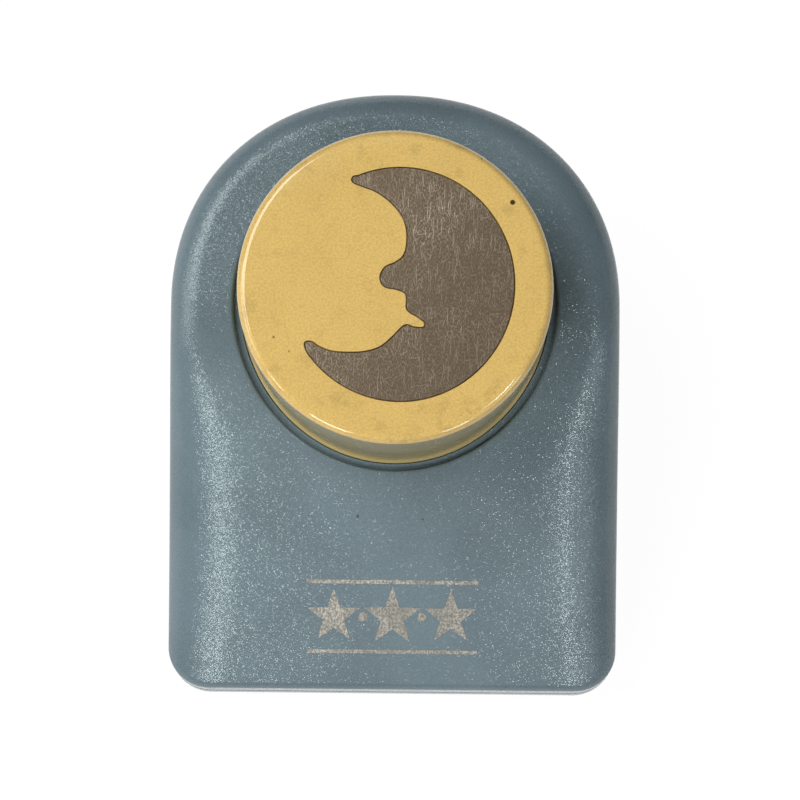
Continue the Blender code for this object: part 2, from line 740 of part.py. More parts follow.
def make_die_stack():
    """Makes the die plate, the spacer behind the slot and the guide plate."""
    rear = [circle(HOLE_RADIUS, side * REAR_SCREW_X, REAR_SCREW_BACK) for side in (-1, 1)]
    rivets = [circle(RIVET_RADIUS + SEAT_GAP, x, y) for x, y in rivet_places()]
    front = [circle(HOLE_RADIUS, side * TRAY_SCREW_X, -TRAY_SCREW_FRONT) for side in (-1, 1)]
    guide = [circle(HOLE_RADIUS, side * GUIDE_SCREW_X, -GUIDE_SCREW_TO_AXIS) for side in (-1, 1)]
    moon = moon_outline(DIE_CLEARANCE)
    die = plate(
        "die_plate",
        [outline(TRAY_HEIGHT, PLATE_INSET), moon] + rear + front,
        DIE_BOTTOM,
        TRAY_HEIGHT,
        DIE_STEEL,
    )
    spacer_bottom, spacer_top = TRAY_HEIGHT + SEAT_GAP, GUIDE_BOTTOM - SEAT_GAP
    plate("slot_spacer", [rear_outline()] + rear + rivets, spacer_bottom, spacer_top, ZINC)
    guide_front = GUIDE_FRONT + PLATE_INSET
    guide_outline = outline(GUIDE_TOP, PLATE_INSET, guide_front, GUIDE_CORNER_RADIUS + PLATE_INSET)
    guide_plate = plate(
        "guide_plate", [guide_outline, moon] + rear, GUIDE_BOTTOM, GUIDE_TOP, DIE_STEEL
    )
    die, guide_plate = as_mesh(die), as_mesh(guide_plate)
    for x, y in rivet_places():
        sunk_hole(die, x, y, DIE_BOTTOM, TRAY_HEIGHT, RIVET_RADIUS, RIVET_HEAD_RADIUS, False)
        sunk_hole(guide_plate, x, y, GUIDE_BOTTOM, GUIDE_TOP, RIVET_RADIUS, RIVET_HEAD_RADIUS, True)
    for side in (-1, 1):
        x, y = side * GUIDE_SCREW_X, -GUIDE_SCREW_TO_AXIS
        sunk_hole(
            guide_plate, x, y, GUIDE_BOTTOM, GUIDE_TOP, SCREW_RADIUS, SCREW_HEAD_RADIUS, False
        )


def sunk_hole(piece, x, y, bottom, top, radius, head_radius, head_up):
    """Cuts a hole with a countersink at its upper or its lower end."""
    narrow, wide = radius + SCREW_CLEARANCE, head_radius + SCREW_CLEARANCE
    depth, beyond = wide - narrow, wide + CUT_OVERRUN
    above, below = top + CUT_OVERRUN, bottom - CUT_OVERRUN
    if head_up:
        profile = [(0, above), (beyond, above), (narrow, top - depth), (narrow, below), (0, below)]
    else:
        profile = [(0, above), (narrow, above), (narrow, bottom + depth), (beyond, below), (0, below)]
    cutter = turned("sunk_hole", profile, None, HOLE_STEPS)
    cutter.location = (x, AXIS_Y + y, 0)
    combine(piece, cutter, "DIFFERENCE", "MANIFOLD")


def make_rivets():
    """Makes the flush rivets that hold the die stack together."""
    low, high = DIE_BOTTOM + RIVET_RECESS, GUIDE_TOP - RIVET_RECESS
    depth = RIVET_HEAD_RADIUS - RIVET_RADIUS
    profile = [
        (0, high), (RIVET_HEAD_RADIUS, high), (RIVET_RADIUS, high - depth),
        (RIVET_RADIUS, low + depth), (RIVET_HEAD_RADIUS, low), (0, low),
    ]
    for number, (x, y) in enumerate(rivet_places(), start=1):
        rivet = turned(f"die_rivet_{number}", profile, ZINC, SCREW_STEPS)
        rivet.location = (x, AXIS_Y + y, 0)


def screw_mesh(name, length, sunk=False):
    """Makes a cross-head screw pointing up, with the underside of its head at height zero."""
    if sunk:
        head = [(0, -SUNK_HEAD_HEIGHT), (SCREW_HEAD_RADIUS, -SUNK_HEAD_HEIGHT)]
    else:
        head = [
            (0, -SCREW_HEAD_HEIGHT), (SCREW_HEAD_RADIUS - SCREW_HEAD_ROUND, -SCREW_HEAD_HEIGHT),
            (SCREW_HEAD_RADIUS, SCREW_HEAD_ROUND - SCREW_HEAD_HEIGHT), (SCREW_HEAD_RADIUS, 0),
        ]
    shank = [
        (SCREW_RADIUS, 0), (SCREW_RADIUS, length - SCREW_POINT),
        (SCREW_RADIUS - SCREW_POINT, length), (0, length),
    ]
    profile = list(reversed(head + shank))
    screw = turned(name, profile, None, SCREW_STEPS)
    screw.location = (0, 0, 0)
    head_end = head[0][1]
    for along, across in (
        (SCREW_RECESS_LENGTH, SCREW_RECESS_WIDTH), (SCREW_RECESS_WIDTH, SCREW_RECESS_LENGTH),
    ):
        recess = box(
            name + "_recess",
            (-along / 2, -across / 2, head_end - CUT_OVERRUN),
            (along / 2, across / 2, head_end + SCREW_RECESS_DEPTH),
        )
        recess.location = (0, 0, 0)
        combine(screw, recess, "DIFFERENCE")
    made = as_mesh(screw)
    mesh = made.data
    bpy.data.objects.remove(made)
    return mesh


def place_screw(name, mesh, x, y, z, head_up=False):
    """Puts one screw with the underside of its head at a height."""
    screw = add_object(name, mesh, None)
    screw.location = (x, AXIS_Y + y, z)
    if head_up:
        screw.rotation_euler = (math.pi, 0, 0)
    return screw


def make_screws():
    """Makes the screws that hold the tray, the plates and the housing together."""
    head_seat = SCREW_SINK + SCREW_HEAD_HEIGHT
    rear = screw_mesh("rear_screw", BOSS_BOTTOM + REAR_SCREW_GRIP - head_seat)
    short = screw_mesh("tray_screw", TRAY_HEIGHT - SEAT_GAP - head_seat)
    sunk_seat = GUIDE_BOTTOM + SUNK_HEAD_HEIGHT + RIVET_RECESS
    guide = screw_mesh("guide_screw", BOSS_BOTTOM + GUIDE_SCREW_GRIP - sunk_seat, sunk=True)
    for mesh in (rear, short, guide):
        mesh.materials.append(make_material(mesh.name, ZINC))
    for side, x_side in (("left", -1), ("right", 1)):
        place_screw(f"rear_screw_{side}", rear, x_side * REAR_SCREW_X, REAR_SCREW_BACK, head_seat)
        place_screw(f"tray_screw_{side}", short, x_side * TRAY_SCREW_X, -TRAY_SCREW_FRONT, head_seat)
        place_screw(
            f"guide_screw_{side}", guide, x_side * GUIDE_SCREW_X, -GUIDE_SCREW_TO_AXIS, sunk_seat
        )


def make_barrel():
    """Makes the button's wider lower part, whose shoulder lies level with the well's ledge."""
    edge = outline()
    inner, outer = ring_at(BUTTON_RADIUS - BUTTON_WALL / 2, edge), ring_at(BARREL_RADIUS, edge)
    depth = RIM_LEDGE_DEPTH + BUTTON_STEP_SINK
    rings = [
        lifted(outer, SLEEVE_BOTTOM), over_top(outer, depth),
        over_top(inner, depth), lifted(inner, SLEEVE_BOTTOM),
    ]
    return loft("barrel", rings, None)


def make_button(carrier):
    """Makes the button: a stepped cup with ribs under its top and four lugs that keep it in."""
    fillet = [
        (
            BUTTON_RADIUS - BUTTON_FILLET * (1 - math.sin(math.pi / 2 * i / FILLET_STEPS)),
            BUTTON_TOP - BUTTON_FILLET * (1 - math.cos(math.pi / 2 * i / FILLET_STEPS)),
        )
        for i in range(FILLET_STEPS + 1)
    ]
    groove = BUTTON_INNER + HOLDER_GROOVE_DEPTH
    profile = [(0, BUTTON_TOP)] + fillet + [
        (BUTTON_RADIUS, SKIRT_BOTTOM), (BUTTON_INNER, SKIRT_BOTTOM),
        (BUTTON_INNER, HOLDER_BOTTOM - SEAT_GAP), (groove, HOLDER_BOTTOM - SEAT_GAP),
        (groove, HOLDER_TOP + SEAT_GAP), (BUTTON_INNER, HOLDER_TOP + SEAT_GAP),
        (BUTTON_INNER, BUTTON_CEILING), (0, BUTTON_CEILING),
    ]
    button = turned("push_button", profile, CREAM_PLASTIC)
    combine(button, make_barrel(), "UNION")
    rib_reach, rib_half = BUTTON_INNER + BUTTON_WALL / 2, BUTTON_RIB_THICKNESS / 2
    rib_bottom, rib_top = HOLDER_TOP + SEAT_GAP + BUTTON_RIB_RELIEF, BUTTON_CEILING + BUTTON_RIB_RELIEF
    lug_start = BUTTON_RADIUS - BUTTON_WALL / 2
    combine(
        button,
        box("rib", (-rib_reach, -rib_half, rib_bottom), (rib_reach, rib_half, rib_top)),
        "UNION",
    )
    combine(
        button,
        box("rib", (-rib_half, -rib_reach, rib_bottom), (rib_half, rib_reach, rib_top)),
        "UNION",
    )
    hub = cylinder("hub", BUTTON_HUB_RADIUS, HOLDER_TOP + SEAT_GAP, rib_top, 0, 0)
    combine(button, hub, "UNION")
    for number in range(4):
        lug = box(
            "lug",
            (lug_start, -BUTTON_LUG_WIDTH / 2, SKIRT_BOTTOM),
            (BUTTON_LUG_RADIUS, BUTTON_LUG_WIDTH / 2, LUG_TOP),
        )
        lug.rotation_euler = (0, 0, math.pi / 2 * number)
        combine(button, lug, "UNION")
    recess_bottom = BUTTON_TOP - EMBLEM_THICKNESS - SEAT_GAP
    recess = plate(
        "emblem_recess",
        [moon_outline(EMBLEM_CLEARANCE)],
        recess_bottom,
        BUTTON_TOP + CUT_OVERRUN,
        None,
    )
    combine(button, as_mesh(recess), "DIFFERENCE")
    emblem = plate(
        "moon_emblem", [moon_outline()], BUTTON_TOP - EMBLEM_THICKNESS, BUTTON_TOP, BROWN_FOIL
    )
    for piece in (button, emblem):
        hang_on(piece, carrier)


def make_punch(carrier):
    """Makes the moon-shaped punch, the disc that holds it and their two screws."""
    places = [(x * MOON_HEIGHT, y * MOON_HEIGHT) for x, y in PUNCH_SCREW_SHARES]
    punch = as_mesh(plate("moon_punch", [moon_outline()], PUNCH_BOTTOM, PUNCH_TOP, PUNCH_STEEL))
    holes = [circle(HOLE_RADIUS, x, y) for x, y in places]
    rim = circle(HOLDER_RADIUS, steps=TURN_STEPS)
    holder = plate("punch_holder", [rim] + holes, HOLDER_BOTTOM, HOLDER_TOP, ZINC)
    seat = HOLDER_TOP + SEAT_GAP
    screw = screw_mesh("punch_screw", seat - PUNCH_TOP + PUNCH_SCREW_GRIP)
    screw.materials.append(make_material("punch_screw", ZINC))
    hang_on(holder, carrier)
    for number, (x, y) in enumerate(places, start=1):
        bottom = PUNCH_TOP - PUNCH_SCREW_GRIP - SCREW_CLEARANCE
        hole = cylinder("punch_bore", HOLE_RADIUS, bottom, PUNCH_TOP + CUT_OVERRUN, x, y)
        combine(punch, hole, "DIFFERENCE")
        hang_on(place_screw(f"punch_screw_{number}", screw, x, y, seat, head_up=True), carrier)
    hang_on(punch, carrier)


def make_spring():
    """Makes the return spring round the punch, and the steel ring that it stands on."""
    curve = bpy.data.curves.new("return_spring", "CURVE")
    curve.dimensions = "3D"
    curve.bevel_depth = SPRING_WIRE / 2
    curve.bevel_resolution = 1
    curve.use_fill_caps = True
    count = round(SPRING_TURNS * SPRING_STEPS)
    low, high = SPRING_BOTTOM + SPRING_WIRE / 2, SPRING_TOP - SPRING_WIRE / 2
    flat = SPRING_WIRE + SPRING_COIL_GAP
    rise = (high - low - 2 * flat * SPRING_FLAT_TURNS) / (SPRING_TURNS - 2 * SPRING_FLAT_TURNS)
    spline = curve.splines.new("POLY")
    spline.points.add(count)
    for i, point in enumerate(spline.points):
        turns = SPRING_TURNS * i / count
        first = min(turns, SPRING_FLAT_TURNS)
        last = max(turns - SPRING_TURNS + SPRING_FLAT_TURNS, 0)
        height = low + flat * (first + last) + rise * (turns - first - last)
        angle = 2 * math.pi * turns
        point.co = (SPRING_RADIUS * math.cos(angle), SPRING_RADIUS * math.sin(angle), height, 1)
    spring = add_object("return_spring", curve, SPRING_STEEL)
    spring.location = (0, AXIS_Y, 0)
    top = SEAT_BOTTOM + SEAT_THICKNESS
    rings = [circle(SEAT_OUTER_RADIUS, steps=TURN_STEPS), circle(SEAT_INNER_RADIUS, steps=TURN_STEPS)]
    plate("spring_seat", rings, SEAT_BOTTOM, top, ZINC)


def hang_on(piece, carrier):
    """Parents a piece to the empty on the sliding axis, where it is."""
    piece.parent = carrier
    piece.matrix_parent_inverse = carrier.matrix_world.inverted()


def smooth_round_pieces():
    """Shades the turned and lofted pieces smooth, but not across their edges."""
    for piece in bpy.data.collections[PUNCH].objects:
        if piece.type == "MESH":
            piece.data.shade_smooth()
            piece.data.set_sharp_from_angle(angle=SHARP_ANGLE)


def main():
    """Builds the punch."""
    clear_scene()
    make_collection(PUNCH)
    make_collection(CUTTERS)
    carrier = bpy.data.objects.new("button_axis", None)
    carrier.location = (0, AXIS_Y, BUTTON_TOP)
    bpy.data.collections[PUNCH].objects.link(carrier)
    bpy.context.view_layer.update()
    make_tray()
    make_housing()
    make_die_stack()
    make_rivets()
    make_screws()
    make_spring()
    make_punch(carrier)
    make_button(carrier)
    smooth_round_pieces()


main()
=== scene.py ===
"""Looks of the moon craft punch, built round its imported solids.

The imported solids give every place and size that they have. Each class below makes one sub-assembly
with a finer surface and puts it on the body that it moves with. All lengths are in metres.
"""

import sys
import logging
import math
from dataclasses import dataclass
from enum import Enum
from typing import Any, Iterable, Sequence

import bmesh
import bpy
from mathutils import Matrix, Vector


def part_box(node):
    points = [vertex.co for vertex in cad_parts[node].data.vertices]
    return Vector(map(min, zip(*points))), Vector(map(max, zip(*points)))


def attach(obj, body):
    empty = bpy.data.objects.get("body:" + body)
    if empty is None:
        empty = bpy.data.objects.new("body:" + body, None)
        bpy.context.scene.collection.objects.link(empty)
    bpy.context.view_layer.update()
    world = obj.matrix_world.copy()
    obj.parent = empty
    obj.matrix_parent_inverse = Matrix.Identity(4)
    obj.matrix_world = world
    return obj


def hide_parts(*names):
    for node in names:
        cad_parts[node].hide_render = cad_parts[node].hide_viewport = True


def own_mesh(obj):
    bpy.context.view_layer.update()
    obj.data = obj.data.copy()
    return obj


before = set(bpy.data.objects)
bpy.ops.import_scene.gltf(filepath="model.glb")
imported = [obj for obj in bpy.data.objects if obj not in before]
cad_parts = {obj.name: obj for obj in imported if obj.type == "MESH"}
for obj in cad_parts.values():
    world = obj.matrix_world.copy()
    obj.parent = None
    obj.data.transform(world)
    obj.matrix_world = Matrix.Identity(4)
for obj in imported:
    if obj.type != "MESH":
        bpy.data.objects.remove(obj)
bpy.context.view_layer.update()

LOG = logging.getLogger("moon_craft_punch")
WELD = 0.000002  # points nearer than this are merged
OVERRUN = 0.0010  # how far a cutting tool reaches past a face
SHARP_ANGLE = math.radians(32)
QUARTER_TURN, FULL_TURN = math.pi / 2, 2 * math.pi
CORE_SHARE = 0.6  # the share of a spot's radius at which it starts to fade
COIL_SIDES, DOT_SIDES = 14, 20
STAR_POINTS, STAR_WAIST = 5, 0.40
NOISE_MIDDLE = 0.5  # the value about which a noise varies
SCRATCH_RADIUS = 0.24  # as a share of its cell
GLINTS_WHOLE, SPECKS_WHOLE, SCRATCHES_WHOLE = 0.98, 0.8, 0.3  # shares that count in full

Object = bpy.types.Object
Mesh = bpy.types.Mesh
Material = bpy.types.Material
Pair = tuple[float, float]
Plan = list[Pair]
Ring = list[tuple[float, float, float]]
Colour = tuple[float, float, float]
Spot = tuple[float, float, float]  # x, y and radius
Row = tuple[float, float, float, float]


class Body(Enum):
    """The bodies that pieces move with."""

    FRAME = "frame"
    PLUNGER = "plunger"


class Slot(Enum):
    """The record's material slots, one named for each new piece."""

    BLUE_PLASTIC = "blue_plastic"
    CREAM_PLASTIC = "cream_plastic"
    BROWN_FOIL = "brown_foil"
    SPRING_STEEL = "spring_steel"
    ZINC_STEEL = "zinc_steel"


class Wire:
    """A socket of a node tree that can be used in expressions."""

    def __init__(self, tree: bpy.types.NodeTree, socket: bpy.types.NodeSocket) -> None:
        """Wraps an output socket of a tree."""
        self.tree, self.socket = tree, socket

    def maths(self, operation: str, *values: Any, swapped: bool = False) -> "Wire":
        """Adds a Math node that works on this value.

        Args:
            operation: The node's operation.
            values: The other operands, as numbers or wires.
            swapped: Whether this value comes last.

        Returns:
            The node's result.
        """
        node = self.tree.nodes.new("ShaderNodeMath")
        node.operation = operation
        for place, value in enumerate([*values, self] if swapped else [self, *values]):
            feed(self.tree, node.inputs[place], value)
        return Wire(self.tree, node.outputs[0])

    def __add__(self, other: Any) -> "Wire":
        """Adds a value."""
        return self.maths("ADD", other)

    def __sub__(self, other: Any) -> "Wire":
        """Takes a value away."""
        return self.maths("SUBTRACT", other)

    def __rsub__(self, other: Any) -> "Wire":
        """Takes this away from a value."""
        return self.maths("SUBTRACT", other, swapped=True)

    def __mul__(self, other: Any) -> "Wire":
        """Multiplies by a value."""
        return self.maths("MULTIPLY", other)

    def __truediv__(self, other: Any) -> "Wire":
        """Divides by a value."""
        return self.maths("DIVIDE", other)

    __radd__, __rmul__ = __add__, __mul__

    def above(self, low: float, high: float) -> "Wire":
        """Eases from 0 at a low value to 1 at a high one.

        Args:
            low: The value that gives 0.
            high: The value that gives 1.

        Returns:
            The eased mask.
        """
        node = self.tree.nodes.new("ShaderNodeMapRange")
        node.interpolation_type = "SMOOTHSTEP"
        for name, value in (("Value", self), ("From Min", low), ("From Max", high)):
            feed(self.tree, node.inputs[name], value)
        return Wire(self.tree, node.outputs["Result"])

    def below(self, low: float, high: float) -> "Wire":
        """Eases from 1 at a low value to 0 at a high one."""
        return 1 - self.above(low, high)

    def within(self, radius: float) -> "Wire":
        """Gives 1 at a distance near 0 and fades to 0 at a radius."""
        return self.below(radius * CORE_SHARE, radius)


def feed(tree: bpy.types.NodeTree, socket: bpy.types.NodeSocket, value: Any) -> None:
    """Gives a socket its value or its link.

    Args:
        tree: The tree that holds the socket.
        socket: The input.
        value: A wire, an output socket or a plain value.
    """
    if isinstance(value, Wire):
        value = value.socket
    if isinstance(value, bpy.types.NodeSocket):
        tree.links.new(value, socket)
    else:
        socket.default_value = value


class Graph:
    """Adds nodes to a tree."""

    def __init__(self, tree: bpy.types.NodeTree) -> None:
        """Takes the tree that the nodes go into."""
        self.tree = tree

    def node(self, kind: str, inputs: dict | None = None, **settings: Any) -> Any:
        """Adds one node.

        Args:
            kind: The node's type.
            inputs: Values, wires or sockets by input name or number.
            settings: The node's own settings, set before its inputs.

        Returns:
            The node.
        """
        made = self.tree.nodes.new(kind)
        for name, value in settings.items():
            setattr(made, name, value)
        for name, value in (inputs or {}).items():
            feed(self.tree, made.inputs[name], value)
        return made

    def wire(self, kind: str, inputs: dict | None = None, output: Any = 0, **settings: Any) -> Wire:
        """Adds one node and wraps its output of a name or number."""
        return Wire(self.tree, self.node(kind, inputs, **settings).outputs[output])


class Recipe(Graph):
    """Builds one procedural material on Object coordinates."""

    def __init__(self, name: str) -> None:
        """Starts the material.

        Args:
            name: The material's name.
        """
        self.material = bpy.data.materials.new(name)
        self.material.use_nodes = True
        super().__init__(self.material.node_tree)
        self.shader = self.tree.nodes["Principled BSDF"]
        self.place = self.wire("ShaderNodeTexCoord", output="Object")

    def stretched(self, scales: Sequence[float], turn: float = 0.0) -> Wire:
        """Turns the coordinates about the vertical by a turn, then scales them along each axis."""
        turned = self.wire("ShaderNodeMapping", {"Vector": self.place, "Rotation": (0, 0, turn)})
        return self.wire("ShaderNodeMapping", {"Vector": turned, "Scale": tuple(scales)})

    def noise(self, size: float, detail: float = 2.0, at: Wire | None = None) -> Wire:
        """Adds a noise from 0 to 1, with features of about a size at the coordinates."""
        inputs = {"Vector": at or self.place, "Scale": 1 / size, "Detail": detail}
        return self.wire("ShaderNodeTexNoise", inputs, "Fac")

    def cells(self, size: float, output: str = "Distance") -> Wire:
        """Adds a pattern of cells of a size and gives one of its outputs."""
        return self.wire("ShaderNodeTexVoronoi", {"Vector": self.place, "Scale": 1 / size}, output)

    def chosen(self, colour: Any, share: float, whole: float, number: int = 0) -> Wire:
        """Picks a share of the cells by a channel of their colour, a share of these in full."""
        channel = self.wire("ShaderNodeSeparateColor", {0: colour}, number)
        return channel.above(1 - share, 1 - share * whole)

    def vector(self, operation: str, *values: Any, output: Any = 0) -> Wire:
        """Adds a Vector Math node that works on vectors or wires."""
        inputs = dict(enumerate(values))
        return self.wire("ShaderNodeVectorMath", inputs, output, operation=operation)

    def facets(self, size: float, share: float, tilts: Pair) -> tuple[Wire, Wire]:
        """Makes cells whose faces lean at random, a little in most and far in some.

        Args:
            size: The size of a cell.
            share: The share of the cells that lean far.
            tilts: The greatest lean of most cells, and of those that lean far.

        Returns:
            The normal, and a mask that is 1 in the cells that lean far.
        """
        colour = self.cells(size, "Color")
        far = self.chosen(colour, share, GLINTS_WHOLE, 2)
        way = self.vector("MULTIPLY_ADD", colour, (2, 2, 2), (-1, -1, -1))
        eased = self.vector("MULTIPLY", self.vector("ABSOLUTE", way), way)
        reach = far * (tilts[1] - tilts[0]) + tilts[0]
        scaled = {0: eased, "Scale": reach}
        lean = self.wire("ShaderNodeVectorMath", scaled, operation="SCALE")
        surface = self.wire("ShaderNodeNewGeometry", output="Normal")
        return self.vector("NORMALIZE", self.vector("ADD", lean, surface)), far

    def specks(self, size: float, share: float, radius: float) -> Wire:
        """Gives scattered small round specks.

        Args:
            size: The size of the cells, each of which can hold one.
            share: The share of the cells that hold one.
            radius: A speck's radius, as a share of the cell.

        Returns:
            A mask, 1 in a speck.
        """
        chosen = self.chosen(self.cells(size, "Color"), share, SPECKS_WHOLE)
        return self.cells(size).within(radius) * chosen

    def scratches(self, width: float, length: float, turn: float, share: float) -> Wire:
        """Adds thin separate scratches that run one way.

        Args:
            width: The width of the cells, each of which can hold one.
            length: The cells' length, which is about twice a scratch's.
            turn: Their turn away from the Y axis, in degrees.
            share: The share of the cells that hold one.

        Returns:
            A mask, 1 in a scratch.
        """
        place = self.stretched((1 / width, 1 / length, 1), math.radians(turn))
        inputs = {"Vector": place, "Scale": 1.0}
        cells = self.node("ShaderNodeTexVoronoi", inputs, voronoi_dimensions="2D")
        chosen = self.chosen(cells.outputs["Color"], share, SCRATCHES_WHOLE)
        return Wire(self.tree, cells.outputs["Distance"]).below(0.0, SCRATCH_RADIUS) * chosen

    def mixed(self, share: Any, first: Any, second: Any) -> Wire:
        """Mixes two colours.

        Args:
            share: How much of the second colour there is.
            first: A colour or a wire.
            second: A colour or a wire.

        Returns:
            The mixed colour.
        """
        a, b = ((*c, 1) if isinstance(c, tuple) else c for c in (first, second))
        return self.wire("ShaderNodeMix", {0: share, 6: a, 7: b}, 2, data_type="RGBA")

    def bump(self, height: Wire, depth: float, strength: float, under: Any = None) -> Wire:
        """Turns a height into a normal.

        Args:
            height: The height, from 0 to 1.
            depth: The height that 1 stands for.
            strength: The strength of the effect.
            under: Another bump that this one is added to.

        Returns:
            The normal.
        """
        inputs = {"Height": height, "Distance": depth, "Strength": strength}
        if under is not None:
            inputs["Normal"] = under
        return self.wire("ShaderNodeBump", inputs, "Normal")

    def near(self, x: float, y: float, radius: float) -> Wire:
        """Gives a mask that is 1 at an upright line and 0 from a radius outwards."""
        apart = self.vector("MULTIPLY_ADD", self.place, (1, 1, 0), (-x, -y, 0))
        return self.vector("LENGTH", apart, output="Value").within(radius)

    def done(self, inputs: dict[str, Any]) -> Material:
        """Sets the shader's own values and links what varies.

        Args:
            inputs: Values and wires by socket name.

        Returns:
            The material.
        """
        for name, value in inputs.items():
            feed(self.tree, self.shader.inputs[name], value)
        return self.material


def toned(colour: Colour, share: float) -> Colour:
    """Gives a colour made darker or paler by a factor."""
    return tuple(share * part for part in colour)


@dataclass(frozen=True)
class GrainedPlastic:
    """Moulded plastic with the fine sparkling grain of an eroded mould, and a few scuffs."""

    colour: Colour
    scuffs: tuple[Spot, ...] = ()
    cloud_size: float = 0.012
    tones: Pair = (0.93, 1.06)
    scuff_colour: Colour = (0.04, 0.045, 0.04)
    grain: float = 0.00009
    glint_share: float = 0.70
    grain_tilts: Pair = (0.06, 0.18)
    roughness: float = 0.46
    glint_roughness: float = 0.14
    glint_tint: Row = (0.88, 1.0, 0.98, 1)
    cloud_range: Pair = (0.35, 0.65)
    scuff_share: float = 0.7
    specular: float = 0.55

    def material(self, name: str) -> Material:
        """Builds the material.

        Args:
            name: Its name.

        Returns:
            The material.
        """
        recipe = Recipe(name)
        cloud = recipe.noise(self.cloud_size, detail=3.0)
        facets, glints = recipe.facets(self.grain, self.glint_share, self.grain_tilts)
        dark, pale = (toned(self.colour, tone) for tone in self.tones)
        colour = recipe.mixed(cloud.above(*self.cloud_range), dark, pale)
        for scuff in self.scuffs:
            mask = recipe.near(*scuff) * self.scuff_share
            colour = recipe.mixed(mask, colour, self.scuff_colour)
        roughness = self.roughness - glints * (self.roughness - self.glint_roughness)
        return recipe.done({
            "Specular IOR Level": self.specular, "Specular Tint": self.glint_tint,
            "Base Color": colour, "Roughness": roughness, "Normal": facets,
        })


@dataclass(frozen=True)
class GlossyPlastic:
    """Smooth plastic with mottling, nicks and specks, cleaner in a round, with painted shade low
    down on its side.

    A nick row holds the cells' width and length, the turn in degrees and the share of the cells.
    A relief holds the depth and the strength of a bump, and a range the values that a mask eases
    between. A share says how much one thing counts.
    """

    colour: Colour
    grime: Colour
    # Painted shade: the darker, greyer tone that the side wall is mixed towards, and the height
    # where it starts.
    side_painted_shade: Colour
    side_shade_height: float
    clean: Spot
    spots: tuple[Spot, ...] = ()
    side_shade_fade: float = 0.0020
    speck_colour: Colour = (0.06, 0.04, 0.015)
    speck: tuple[float, float, float] = (0.0019, 0.16, 0.10)
    cloud_size: float = 0.006
    mottle_size: float = 0.00024
    blotch_size: float = 0.0018
    wave_size: float = 0.009
    roughness: float = 0.08
    nick_rows: tuple[Row, ...] = (
        (0.00022, 0.0016, 38, 0.10), (0.00022, 0.0013, -52, 0.10),
    )
    cloud_range: Pair = (0.38, 0.75)
    mottle_range: Pair = (0.35, 0.70)
    blotch_range: Pair = (0.52, 0.74)
    nick_range: Pair = (0.45, 0.65)
    cloud_share: float = 0.12
    mottle_share: float = 0.40
    blotch_share: float = 0.40
    clean_share: float = 0.24
    nick_share: float = 0.5
    side_shade_shares: Pair = (0.75, 0.4)
    speck_share: float = 0.6
    side_roughness: float = 0.10
    blotch_roughness: float = 0.12
    nick_roughness: float = 0.15
    specular: float = 0.30
    coat: float = 0.6
    coat_roughness: float = 0.04
    wave_relief: Pair = (0.00002, 0.3)
    nick_relief: Pair = (0.000004, 0.6)

    def material(self, name: str) -> Material:
        """Builds the material.

        Args:
            name: Its name.

        Returns:
            The material.
        """
        recipe = Recipe(name)
        cloud = recipe.noise(self.cloud_size, detail=3.0)
        mottle = recipe.noise(self.mottle_size, detail=3.0).above(*self.mottle_range)
        blotches = recipe.noise(self.blotch_size, detail=3.0).above(*self.blotch_range)
        first, second = (recipe.scratches(*row) for row in self.nick_rows)
        nicks = (first + second) * cloud.above(*self.nick_range)
        stain = blotches * (self.blotch_share - recipe.near(*self.clean) * self.clean_share)
        clouds = cloud.above(*self.cloud_range) * self.cloud_share
        dirt = clouds + mottle * self.mottle_share + stain
        colour = recipe.mixed(dirt + nicks * self.nick_share, self.colour, self.grime)
        height = recipe.wire("ShaderNodeSeparateXYZ", {0: recipe.place}, 2)
        # Painted shade: below the top's edge the side wall is mixed towards a darker, greyer tone
        # that stands in for the shade on it; the same mask also makes it rougher and takes away its
        # coat.
        low = height.below(self.side_shade_height - self.side_shade_fade, self.side_shade_height)
        even, cloudy = self.side_shade_shares
        colour = recipe.mixed(low * (even + cloud * cloudy), colour, self.side_painted_shade)
        specks = recipe.specks(*self.speck) * self.speck_share
        colour = recipe.mixed(specks, colour, self.speck_colour)
        for spot in self.spots:
            colour = recipe.mixed(recipe.near(*spot), colour, self.speck_colour)
        waves = recipe.bump(recipe.noise(self.wave_size, detail=1.0), *self.wave_relief)
        roughness = self.roughness + low * self.side_roughness
        roughness = roughness + blotches * self.blotch_roughness + nicks * self.nick_roughness
        return recipe.done({
            "Specular IOR Level": self.specular, "Coat Roughness": self.coat_roughness,
            "Base Color": colour, "Coat Weight": (1 - low) * self.coat, "Roughness": roughness,
            "Normal": recipe.bump(nicks, *self.nick_relief, under=waves),
        })


